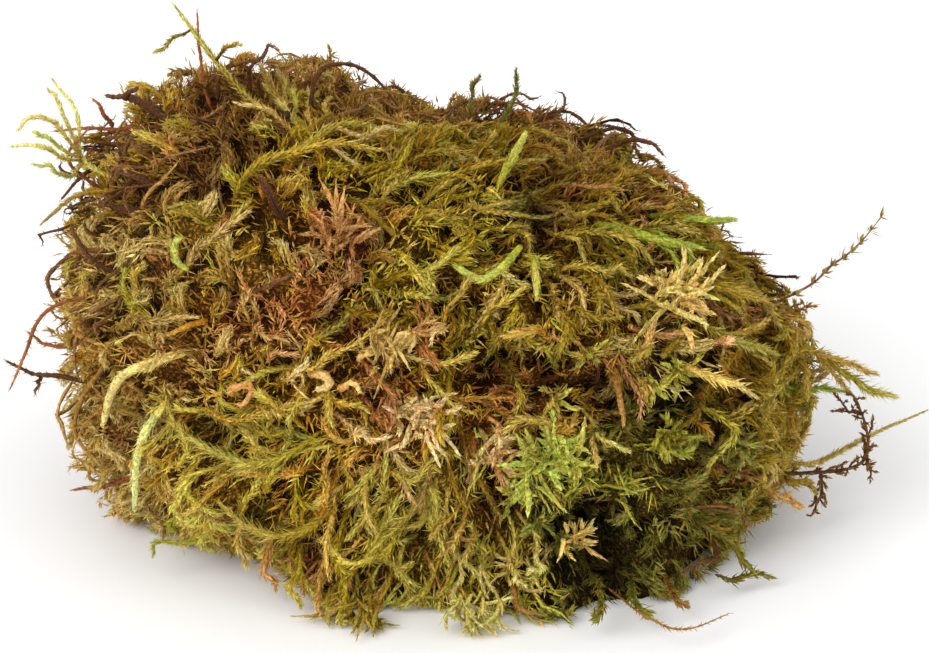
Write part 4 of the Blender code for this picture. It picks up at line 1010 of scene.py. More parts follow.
@dataclass
class Studio:
    """A pale floor, soft light and the camera."""

    floor_half: float = 2.5
    sensor: float = 36.0  # the width of the camera's film in millimetres

    def build(self) -> None:
        """Sets up the floor, the lights, the world and the camera."""
        self.floor()
        self.light("key", (-1.2, -1.55, 1.4), 1.7, 39.5)
        self.light("fill", (1.7, -1.5, 1.1), 2.0, 7.0)
        self.world()
        self.camera()

    def floor(self) -> None:
        """A pale matt floor."""
        bpy.ops.mesh.primitive_plane_add(size=2 * self.floor_half, location=(0, 0, -0.00005))
        plane = bpy.context.object
        plane.name = "floor"
        made = bpy.data.materials.new("floor")
        made.use_nodes = True
        shader = made.node_tree.nodes["Principled BSDF"]
        shader.inputs["Base Color"].default_value = (0.93, 0.93, 0.93, 1)
        shader.inputs["Roughness"].default_value = 0.9
        plane.data.materials.append(made)

    def light(self, name: str, place: tuple[float, float, float], size: float, power: float) -> None:
        """A square soft light that faces the clump."""
        lamp = bpy.data.lights.new(name, "AREA")
        lamp.size = size
        lamp.energy = power
        made = bpy.data.objects.new(name, lamp)
        made.location = place
        made.rotation_euler = (Vector(place) - Vector((0, 0, 0.03))).to_track_quat("Z", "Y").to_euler()
        bpy.context.scene.collection.objects.link(made)

    def world(self) -> None:
        """Even white light from all round."""
        world = bpy.data.worlds.new("studio")
        world.use_nodes = True
        back = world.node_tree.nodes["Background"]
        back.inputs["Color"].default_value = (1, 1, 1, 1)
        back.inputs["Strength"].default_value = 0.9
        bpy.context.scene.world = world
        bpy.context.scene.view_settings.view_transform = "Standard"

    def camera(self) -> None:
        """The camera, where the photograph was taken from."""
        made = bpy.data.cameras.new("camera")
        made.sensor_width = self.sensor
        made.lens = self.sensor * EYE_DISTANCE / PHOTO_WIDTH_MM
        camera = bpy.data.objects.new("camera", made)
        camera.location = Vector(EYE * MM)
        camera.rotation_euler = Vector(-AHEAD).to_track_quat("Z", "Y").to_euler()
        bpy.context.scene.collection.objects.link(camera)
        bpy.context.scene.camera = camera


@dataclass
class Sward:
    """All that grows on the mat: the core under it, and the shoots, heads, fibres and stems that cover it."""

    bed: Bed
    finishes: dict[Kind, bpy.types.Material]
    core_depth: float = 3.4
    core_shade: tuple[float, float, float] = (0.95, 0.70, 0.62)  # the old growth's colour beside what grows on it
    dying: float = 0.16  # the share of the moss that has the colours of dead moss
    behind_coarse: float = 1.6  # how much wider, and how much fewer, the leaves behind are
    most_triangles: int = 170_000
    made: dict[tuple[Kind, str], Tangle] = field(default_factory=dict)
    choices: list[tuple[Kind, Tint]] = field(default_factory=list)

    def core(self, finish: bpy.types.Material) -> bpy.types.Object:
        """The dark tangle of dead stems inside, which shows in the hollows and underneath; its tints carry painted
        light on the heaps and painted shade in the hollows.
        """
        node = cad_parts["moss_mat"]
        bpy.ops.object.select_all(action="DESELECT")
        piece = bpy.data.objects.new("old_growth", node.data.copy())
        bpy.context.scene.collection.objects.link(piece)
        piece.select_set(True)
        bpy.context.view_layer.objects.active = piece
        bpy.ops.object.mode_set(mode="EDIT")
        bpy.ops.mesh.select_all(action="SELECT")
        bpy.ops.mesh.remove_doubles(threshold=0.00001)
        bpy.ops.mesh.subdivide(number_cuts=2)
        bpy.ops.mesh.quads_convert_to_tris()
        bpy.ops.object.mode_set(mode="OBJECT")
        mesh = piece.data
        points = corners_of(mesh)
        ground = self.bed.ground
        rise, hollow = heaped(points), ground.hollow(points)
        tints, deeper = self.bed.blended(points)
        rough = self.bed.rng.normal(0, 0.4, len(points))
        sunk = ground.settled(points, self.core_depth + deeper - HEAP * rise + rough + hollow)
        on_floor = points[:, 2] < 0.15
        sunk[:, 2] = np.where(on_floor, 0.0, np.maximum(sunk[:, 2], 0.4))
        mesh.vertices.foreach_set("co", (sunk * MM).ravel())
        # painted light on the heaps and painted shade in the hollows, times a random tone
        light = np.clip(0.9 + 0.35 * rise + 0.5 * rough, 0.3, 1.7) * np.exp(-0.35 * hollow)
        set_tints(mesh, tints * self.core_shade * light[:, None])
        mesh.update()
        mesh.materials.clear()
        mesh.materials.append(finish)
        bpy.ops.object.shade_smooth()
        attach(piece, "root")
        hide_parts("moss_mat")
        log.info("%s: %d triangles", piece.name, len(mesh.polygons))
        return piece

    def pile(self, under: bpy.types.Object) -> None:
        """Small sprouts all over the old growth, under everything else."""
        bed, rng = self.bed, self.bed.rng
        points = corners_of(under.data)
        points = points[points[:, 2] > 1.0]
        near = bed.faces_eye(points)
        points = points[rng.uniform(0, 1, len(points)) < np.where(near, 0.5, 0.15)]
        rows = bed.patch_rows(points)
        headings = unit(bed.headings(points, rows) + rng.normal(0, 0.7, points.shape))
        picks = np.array([self.pick(PATCHES[row]) for row in rows])
        # painted shade: the sprouts under everything else are darker
        glow = bed.glow[rows] + rng.normal(-0.26, 0.14, len(rows))
        x = points[:, 0]
        sides = np.where(x < LEFT_END + 2, "left", np.where(x < RIGHT_END, "middle", "right"))
        for _, tint, side, crop in self.shares(picks, sides, Crop(points, headings, bed.sunk[rows], glow)):
            tint = BROWN if tint in (BARK, REDDISH) else tint
            paths = bed.laid(crop, (1.2, 2.8), 3, (2.5, 1.4, 0.6), 20, 0, 0.4)
            self.tangle(SPROUT, side).leaves(paths, 1.6, 2.4, 0.46, 56, tint, crop.glow, curl=0.45, dead=0.1)

    def shares(self, picks: Array, sides: Array, crop: Crop) -> Iterator[tuple[Kind, Tint, str, Crop]]:
        """The crop in parts, one for each choice of kind and tint on each side."""
        for number in np.unique(picks):
            for side in np.unique(sides):
                mine = (picks == number) & (sides == side)
                if mine.any():
                    yield *self.choices[number], str(side), crop.chosen(mine)

    def tangle(self, kind: Kind, side: str) -> Tangle:
        """The mesh in the making for one kind of moss on one side."""
        if (kind, side) not in self.made:
            name, slot = kind.value
            coarse = self.behind_coarse if side == "behind" else 1.0
            self.made[kind, side] = Tangle(f"{name}_{side}", slot, self.bed.rng, self.bed.ground.hollow, coarse)
        return self.made[kind, side]

    def sow(self) -> None:
        """Plants every root with what grows in its patch."""
        bed, rng = self.bed, self.bed.rng
        grow = dict(zip(Kind, (self.brush, self.braid, self.fuzz, self.heads, self.wool, self.wire, self.tendril)))
        roots = bed.roots()
        rows = bed.patch_rows(roots)
        headings = bed.headings(roots, rows)
        log.info("%d roots", len(roots))
        picks = [self.pick(PATCHES[row]) for row in rows]
        picks = np.array([self.aged(pick) for pick in picks])
        sides = np.where(bed.behind[rows], "behind", "front")
        sides = np.where((sides == "front") & (roots[:, 0] < LEFT_END), "left", sides)
        sides = np.where((sides == "front") & (roots[:, 0] > RIGHT_END), "right", sides)
        whole = Crop(roots, headings, bed.sunk[rows], bed.glow[rows])
        for kind, tint, side, crop in self.shares(picks, sides, whole):
            lifted = rng.normal(0, 0.5, len(crop.roots))
            # painted light on strands that stand high and painted shade on those that sink
            glow = crop.glow + rng.normal(0.02, 0.14, len(lifted)) + 0.2 * heaped(crop.roots) + 0.12 * lifted
            crop = Crop(crop.roots, crop.headings, crop.sunk - lifted, glow)
            grow[kind](tint, crop, self.tangle(kind, side))

    def aged(self, number: int) -> int:
        """The same choice, or now and then one of the same kind with the colours of dead moss."""
        kind = self.choices[number][0]
        if kind in (WIRE, HEADS) or self.bed.rng.uniform() > self.dying:
            return number
        return self.numbered((kind, OLD[self.bed.rng.integers(len(OLD))]))

    def pick(self, patch: Patch) -> int:
        """The number of the kind and tint that a root of this patch gets."""
        weights = np.array([w for _, _, w in patch.kinds], dtype=float)
        chosen = patch.kinds[self.bed.rng.choice(len(weights), p=weights / weights.sum())]
        return self.numbered(chosen[:2])

    def numbered(self, choice: tuple[Kind, Tint]) -> int:
        """The number of a choice of kind and tint."""
        if choice not in self.choices:
            self.choices.append(choice)
        return self.choices.index(choice)

    def lock(self, leads: Paths, glow: Array, number: int, width: float) -> tuple[Paths, Array]:
        """Strands that run together as a lock round each leading strand.

        Args:
            leads: the leading strands, one for each lock.
            glow: how ripe each lock is.
            number: how many strands a lock has.
            width: how far they spread from the leading strand.

        Returns:
            The strands, and how ripe each is.
        """
        rng = self.bed.rng
        locks, rings = leads.points.shape[:2]
        many, along = (locks, number, 1), np.linspace(0, 1, rings)
        start, stop = rng.uniform(0, 0.3, many), rng.uniform(0.7, 1.0, many)
        share = (start + (stop - start) * along).reshape(locks, -1)
        place, _, side, up = leads.at(share)
        spread = width * np.sqrt(rng.uniform(0.05, 1, many))
        spread = spread * np.interp(share, (0, 0.35, 1), (0.5, 1, 0.5)).reshape(locks, number, rings)
        turn = rng.uniform(0, math.tau, many) + rng.normal(0, 1.3, many) * along
        aside = side * (spread * np.cos(turn)).reshape(locks, -1, 1)
        above = up * (0.7 * spread * np.sin(turn)).reshape(locks, -1, 1)
        points = (place + aside + above).reshape(locks * number, rings, 3)
        points[..., 2] = np.maximum(points[..., 2], LOWEST)
        glow = np.repeat(glow, number) + rng.normal(0, 0.07, locks * number)
        return Paths(points, np.repeat(leads.out, number, axis=0)), glow

    def widths(self, low: float, high: float, paths: Paths) -> Array:
        """A half width for each stem."""
        return self.bed.rng.uniform(low, high, len(paths.points))

    def brush(self, tint: Tint, crop: Crop, tangle: Tangle) -> None:
        """Feather-moss shoots, thick with short leaves and fringed with fine ones."""
        crop = crop.several(2, 1.4, self.bed.rng)
        paths = self.bed.laid(crop, (7.0, 14.0), 8, (3.6, 1.2, 0.3, 0.0, 0.3), 9, 6, 0.7)
        tangle.leaves(paths, 6.2, 1.3, 0.47, 46, tint, crop.glow, curl=0.3, base=0.25)
        tangle.leaves(paths, 2.4, 1.6, 0.16, 66, tint, crop.glow + 0.1, curl=0.4, base=0.2)
        tangle.tubes(paths, self.widths(0.3, 0.46, paths), tint, ripeness=crop.glow - 0.15, knobs=0.2)

    def braid(self, tint: Tint, crop: Crop, tangle: Tangle) -> None:
        """Long strands with leaves that lie along them."""
        crop = crop.several(2, 1.4, self.bed.rng)
        paths = self.bed.laid(crop, (8.0, 16.0), 8, (3.5, 1.1, 0.4, 0.1, 0.4, 0.9), 8, 7, 0.8)
        tangle.leaves(paths, 5.6, 1.05, 0.42, 36, tint, crop.glow, curl=0.25, base=0.25)
        tangle.leaves(paths, 1.8, 1.3, 0.16, 60, tint, crop.glow + 0.08, curl=0.35, base=0.2)
        tangle.tubes(paths, self.widths(0.28, 0.42, paths), tint, ripeness=crop.glow - 0.15, knobs=0.2)

    def fuzz(self, tint: Tint, crop: Crop, tangle: Tangle) -> None:
        """Tufts of short shoots with fine leaves."""
        leads = self.bed.laid(crop, (5.0, 9.5), 6, (3.3, 1.1, 0.2, 0.0), 16, 12, 0.8)
        paths, glow = self.lock(leads, crop.glow, 5, 1.6)
        tangle.leaves(paths, 3.2, 1.15, 0.46, 44, tint, glow, curl=0.3, base=0.15)
        tangle.leaves(paths, 1.7, 1.4, 0.18, 62, tint, glow + 0.08, curl=0.4, base=0.1)
        tangle.tubes(paths, self.widths(0.2, 0.32, paths), tint, sides=3, ripeness=glow - 0.1, knobs=0.2)

    def wool(self, tint: Tint, crop: Crop, tangle: Tangle) -> None:
        """Curled dead shoots and fibres."""
        crop = crop.several(5, 1.3, self.bed.rng)
        paths = self.bed.laid(crop, (2.5, 7.0), 7, (3.0, 0.8, 0.1, 0.5), 26, 24, 0.9)
        tangle.leaves(paths, 2.8, 1.3, 0.4, 55, tint, crop.glow, curl=0.4)
        tangle.tubes(paths, self.widths(0.12, 0.26, paths), tint, sides=3, ripeness=crop.glow, flat=0.6)

    def wire(self, tint: Tint, crop: Crop, tangle: Tangle) -> None:
        """Bare stems, some of which stand off the mat."""
        crop = crop.several(2, 1.6, self.bed.rng)
        paths = self.bed.laid(crop, (6.0, 15.0), 9, (2.6, 0.2, -0.5, -1.0, -1.2), 9, 14, 1.3, proud=0.35, rise=5.5)
        tangle.tubes(paths, self.widths(0.14, 0.36, paths), tint, ripeness=crop.glow, knobs=0.2)
        tangle.leaves(paths, 1.6, 1.0, 0.26, 45, tint, crop.glow, bare=0.2)

    def tendril(self, tint: Tint, crop: Crop, tangle: Tangle) -> None:
        """Long thin curled leaves."""
        crop = crop.several(4, 1.5, self.bed.rng)
        paths = self.bed.laid(crop, (4.5, 10.0), 7, (3.4, 0.8, -0.1, -0.7), 20, 16, 0.9)
        tangle.tubes(paths, self.widths(0.2, 0.4, paths), tint, ripeness=crop.glow, flat=0.4)
        tangle.leaves(paths, 2.6, 1.4, 0.36, 36, tint, crop.glow, bare=0.2, curl=0.3)

    def heads(self, tint: Tint, crop: Crop, tangle: Tangle) -> None:
        """Peat-moss heads, each a bunch of short curled branches with broad leaves."""
        rng, roots, ground = self.bed.rng, crop.roots, self.bed.ground
        arms = 8
        out = unit(ground.outward(roots) + rng.normal(0, 0.28, roots.shape) + 0.3 * crop.headings)
        centre = ground.settled(roots, 2.6 + crop.sunk - HEAP * heaped(roots))
        paths = star(centre, out, rng.uniform(2.6, 4.4, len(roots)), arms, rng)
        glow = np.repeat(crop.glow, arms) + rng.normal(0, 0.08, len(paths.points))
        tangle.leaves(paths, 4.2, 1.6, 0.85, 40, tint, glow, curl=0.6)

    def build(self) -> None:
        """Makes the pieces, none with more triangles than most_triangles."""
        for (kind, _), tangle in self.made.items():
            for part in tangle.parted(self.most_triangles):
                part.build(self.finishes[kind], "moss_mat")


def star(centre: Array, out: Array, size: Array, arms: int, rng: Random) -> Paths:
    """Arms that rise from each centre and bend outwards, each its own way.

    Args:
        centre: where each bunch is rooted.
        out: which way each bunch faces.
        size: how far its arms reach.
        arms: how many it has.
        rng: where chance comes from.

    Returns:
        The arms.
    """
    heads = len(centre)
    many, steps = (heads, arms), 7
    some = unit(np.cross(out, rng.normal(0, 1, (heads, 3))))
    other = np.cross(out, some)
    turn = GOLDEN_TURN * np.arange(arms) + rng.uniform(0, math.tau, (heads, 1)) + rng.normal(0, 0.3, many)
    reach = 0.2 + 0.8 * np.sqrt((np.arange(arms) + 0.5) / arms)
    away = np.cos(turn)[..., None] * some[:, None] + np.sin(turn)[..., None] * other[:, None]
    size = size[:, None] * rng.uniform(0.65, 1.2, many)
    swing = unit(rng.normal(0, 1, (*many, 3))) * size[..., None] * rng.uniform(0, 0.5, (*many, 1)) * 1.2
    points = []
    for share in np.linspace(0, 1, steps):
        bend = math.sin(share * math.pi / 2)
        wide = (reach * size * (0.15 * share + 0.85 * bend**2))[..., None]
        high = (size * (0.9 * bend - 0.35 * reach * share**2))[..., None]
        points.append(centre[:, None] + away * wide + out[:, None] * high + swing * share**2)
    found = np.stack(points, axis=2).reshape(heads * arms, steps, 3)
    found = found + rng.normal(0, 0.1, found.shape) * np.linspace(0, 1, steps)[:, None]
    return Paths(found, np.repeat(out, arms, axis=0))


def bunch(
    centre: Array, out: Array, flow: Array, radius: float, arms: int, rng: Random
) -> Paths:
    """Arms that are rooted all over a spot, and stray and curl while they lean one way.

    Args:
        centre: the middle of the spot.
        out: which way the bunch faces.
        flow: which way its arms lean.
        radius: how far it reaches.
        arms: how many it has.
        rng: where chance comes from.

    Returns:
        The arms.
    """
    some = unit(np.cross(out, flow))
    other = np.cross(out, some)
    spread = np.clip(rng.normal(0, 0.34, (arms, 2)), -0.75, 0.75) * radius
    base = centre + spread[:, :1] * some + spread[:, 1:] * other - out * 0.25 * radius
    way = unit(0.55 * out + 0.45 * flow + rng.normal(0, 0.6, (arms, 3)))
    bend = unit(rng.normal(0, 1, (arms, 3)) - 0.4 * out) * rng.uniform(0.2, 0.75, (arms, 1))
    length = radius * rng.uniform(0.4, 1.0, (arms, 1))
    points = [base + length * (way * share + bend * share**2) for share in np.linspace(0, 1, 7)]
    return Paths(np.stack(points, axis=1), np.repeat(out[None], arms, axis=0))


@dataclass(frozen=True)
class On:
    """A place on the mat, where the eye sees it."""

    across: float
    up: float
    lift: float = -2.5

    def place(self, ground: Ground) -> Array:
        """The place in the clump's frame."""
        return ground.seen(self.across, self.up, self.lift)


@dataclass(frozen=True)
class Off:
    """A place off the mat, on a line of sight."""

    across: float
    up: float
    depth: float

    def place(self, ground: Ground) -> Array:
        """The place in the clump's frame."""
        return ground.free(self.across, self.up, self.depth)


@dataclass(frozen=True)
class Behind:
    """A place on the mat, by its direction from the heart."""

    bearing: float
    rise: float
    lift: float

    def place(self, ground: Ground) -> Array:
        """The place in the clump's frame."""
        return ground.turned(self.bearing, self.rise, self.lift)


class Look(Enum):
    """How a strand of its own is leaved: the method of Shoot that does it."""

    FEATHER = "feathered"
    SLENDER = "slender"
    BRAIDED = "braided"
    RAGGED = "ragged"
    BARE = "bare"
    BEADED = "beaded"
    CURLY = "curly"
    FLAT = "flat"
    SHAGGY = "shaggy"


FEATHER, SLENDER, BRAIDED, RAGGED, BARE, BEADED, CURLY, FLAT, SHAGGY = Look


def wobble(count: int, rng: Random, size: float) -> Array:
    """Small sideways bends along a route, none at its ends."""
    share = np.linspace(0, 1, count)[:, None]
    waves = np.zeros((count, 3))
    for turns in (1, 2, 3.3):
        waves = waves + np.sin(share * turns * math.tau + rng.uniform(0, math.tau, 3)) * rng.normal(0, 1, 3) / turns
    return waves * size * np.sin(share * math.pi)


@dataclass
class Shoot:
    """One strand of its own, and what is grown on it."""

    tangle: Tangle
    paths: Paths
    width: float  # its half width, leaves and all, at its widest
    tint: Tint
    ripeness: float

    def leaves(self, rate: float, long: float, wide: float, lean: float, riper: float = 0.0, **more: float) -> None:
        """Sets leaves along it, this many for each millimetre."""
        self.tangle.leaves(self.paths, rate, long, wide, lean, self.tint, self.ripeness + riper, **more)

    def stem(self, radius: float, sides: int, profile: Sequence[float], riper: float = 0.0, **more: float) -> None:
        """Sets a stem inside it."""
        self.tangle.tubes(self.paths, radius, self.tint, sides, profile, self.ripeness + riper, **more)

    def beside(self, points: Array, out: Array) -> "Shoot":
        """A small part of it with a route of its own."""
        return Shoot(self.tangle, Paths(points[None], out[None]), self.width, self.tint, self.ripeness)

    def joints(self, apart: float, fewest: int) -> Iterator[tuple[Array, ...]]:
        """The places and frames of its joints, this far apart."""
        count = max(fewest, int(self.paths.lengths[0] / apart))
        for joint in range(count):
            yield tuple(a[0, 0] for a in self.paths.at(np.array([[(joint + 0.6) / count]])))

    def grow(self, look: Look) -> None:
        """Leaves it as this look says."""
        getattr(self, look.value)(self.width)

    def feathered(self, width: float) -> None:
        """A shoot with leaves that stand off it."""
        self.leaves(14, 1.2 * width + 0.4, 0.33 + 0.09 * width, 44, curl=0.2, dead=0.2)
        self.leaves(4, 1.5 * width + 0.5, 0.15, 62, 0.15, curl=0.3, dead=0.2)
        self.stem(0.2 * width + 0.06, 5, (1, 1, 0.8, 0.4), -0.2)

    def slender(self, width: float) -> None:
        """A shoot with small leaves that hug it, browner at its root."""
        self.leaves(12, 1.2 + 0.4 * width, 0.34 + 0.08 * width, 32, curl=0.1, dead=0.5)
        self.leaves(3, 1.0 + 0.5 * width, 0.14, 52, 0.1, curl=0.3, dead=0.5)
        self.stem(0.32 * width, 6, (1.2, 1, 0.8, 0.6, 0.4), -0.45)

    def braided(self, width: float) -> None:
        """A shoot with broad leaves that lie along it, as blunt as it is thick."""
        self.leaves(15, 1.1 + 0.25 * width, 0.45 + 0.12 * width, 18, curl=0.15, dead=0.3, base=0.4 * width)
        self.leaves(4, 1.1 + 0.3 * width, 0.24, 44, 0.1, curl=0.35, dead=0.3, base=0.35 * width)
        self.stem(0.5 * width, 7, (0.8, 1, 1, 0.9, 0.7), -0.1)

    def ragged(self, width: float) -> None:
        """A shoot with broad torn leaves that curl off it."""
        self.leaves(10, 1.3 + 0.4 * width, 0.5 + 0.2 * width, 36, curl=0.45, dead=0.2)
        self.leaves(5, 1.4 + 0.4 * width, 0.24, 60, 0.15, curl=0.5, dead=0.2)
        self.stem(0.3 * width, 5, (1, 1, 0.8, 0.5), -0.05)

    def shaggy(self, width: float) -> None:
        """A strand with loose leaves and a fine fringe."""
        self.leaves(8.6, 0.9 * width + 0.4, 0.36 + 0.12 * width, 42, curl=0.3, dead=0.3, base=0.2)
        self.leaves(2.2, 1.2 * width + 0.4, 0.16, 62, 0.12, curl=0.4, dead=0.3, base=0.2)
        self.stem(0.26 * width, 4, (1, 1, 0.8, 0.5), -0.2)

    def bare(self, width: float) -> None:
        """A stem with hardly a leaf on it."""
        self.stem(0.7 * width, 6, (1, 0.95, 0.8, 0.4), knobs=0.14)
        self.leaves(3.0, 1.0 + 0.4 * width, 0.22, 40, bare=0.1)

    def beaded(self, width: float) -> None:
        """A thin dark stem with a star of small leaves at every joint."""
        self.stem(0.16 * width + 0.04, 6, (1.4, 1, 0.8, 0.5), knobs=0.15)
        for place, along, _, _ in self.joints(2.6, 3):
            knot = self.beside(np.array([place + along * step for step in (-0.2, 0.0, 0.2, 0.4)]), along)
            knot.leaves(12, 1.9 * width, 0.72, 72, 0.05, bare=0, curl=0.25)

    def curly(self, width: float) -> None:
        """A dark stem with short curled branches, each with small leaves."""
        self.stem(0.3 * width + 0.05, 6, (1.3, 1, 0.8, 0.5), knobs=0.15)
        shares = np.linspace(0, 1, 6)
        for number, (place, along, side, up) in enumerate(self.joints(0.75, 4)):
            turn = GOLDEN_TURN * number
            way = unit(0.7 * along + np.cos(turn) * side + np.sin(turn) * up)
            reach = width * self.tangle.rng.uniform(1.0, 2.8)
            bend = self.tangle.rng.uniform(-0.6, 1.1)
            spots = [place + reach * (way * s * (1 - 0.3 * s) + along * bend * s * s) for s in shares]
            twig = self.beside(np.array(spots), along)
            twig.stem(0.12 * width + 0.07, 4, (1, 0.8), -0.1)
            twig.leaves(4.5, 0.9, 0.5, 58, -0.1, bare=0.2, curl=0.5)

    def flat(self, width: float) -> None:
        """A flat flake of bark or a needle, split lengthwise and ragged at its ends."""
        rng, paths = self.tangle.rng, self.paths
        for off in (-0.5, -0.17, 0.2, 0.52):
            splinter = paths.points + paths.side * off * width + paths.up * rng.uniform(-0.12, 0.12)
            cut = slice(int(rng.integers(0, 3)), len(splinter[0]) - int(rng.integers(0, 4)))
            strip = self.beside(splinter[0, cut], paths.out[0])
            strip.stem(0.24 * width, 5, (0.6, 1, 1, 0.7), flat=0.8, knobs=0.16)
        self.leaves(4, 0.9 + 0.5 * width, 0.22, 16, 0.2, flat=0.8)


def line(points: Sequence[Array], count: int, sway: float, lowest: float, rng: Random) -> Paths:
    """The line of a shoot through these points.

    Args:
        points: what it runs through.
        count: how many points the line has.
        sway: how far it wobbles.
        lowest: how far it keeps off the floor.
        rng: where chance comes from.

    Returns:
        The line, as the only one of its paths.
    """
    route = curve_through(points, count) + wobble(count, rng, sway)
    route[:, 2] = np.maximum(route[:, 2], lowest)
    return Paths(route[None], unit(route[0] - HEART)[None])


@dataclass(frozen=True)
class Sprig:
    """A shoot, stem or twig that is a piece of its own, along the route of its solid."""

    node: str
    slot: str
    look: Look
    tint: Tint
    ripeness: float
    strands: tuple[tuple[float | On | Off | Behind, ...], ...]  # each strand's half width, and its route

    def grow(self, ground: Ground, rng: Random) -> Tangle:
        """Leaves every strand of the sprig."""
        tangle = Tangle(f"{self.node}_grown", self.slot, rng)
        for width, *route in self.strands:
            points = [spot.place(ground) for spot in route]
            paths = line(points, 24, 0.22, FLOOR_GAP + 0.3 + 0.3 * width, rng)
            Shoot(tangle, paths, width, self.tint, self.ripeness).grow(self.look)
        return tangle


def sprig(node: str, slot: str, look: Look, tint: Tint, ripeness: float, *strands: tuple) -> Sprig:
    """A sprig with these strands."""
    return Sprig(node, slot, look, tint, ripeness, strands)


FAN = Off(-63.5, 27.6, -3)
FORK = Off(-41.4, 44.3, -3)
KNOT = Off(-58.5, 33.2, 2)
KNEE = Off(-70.6, -8.2, -16)
CROWN_ROOT = On(-28.2, 32.4)
FEATHER_STEM = Off(58.4, -4.2, -22)
FERN_FORK = Off(59.4, -24.3, -22)
FERN_CROOK = Off(66.9, -21.4, -22)
LOWER_BEND = Off(48.4, -41.4, -39)

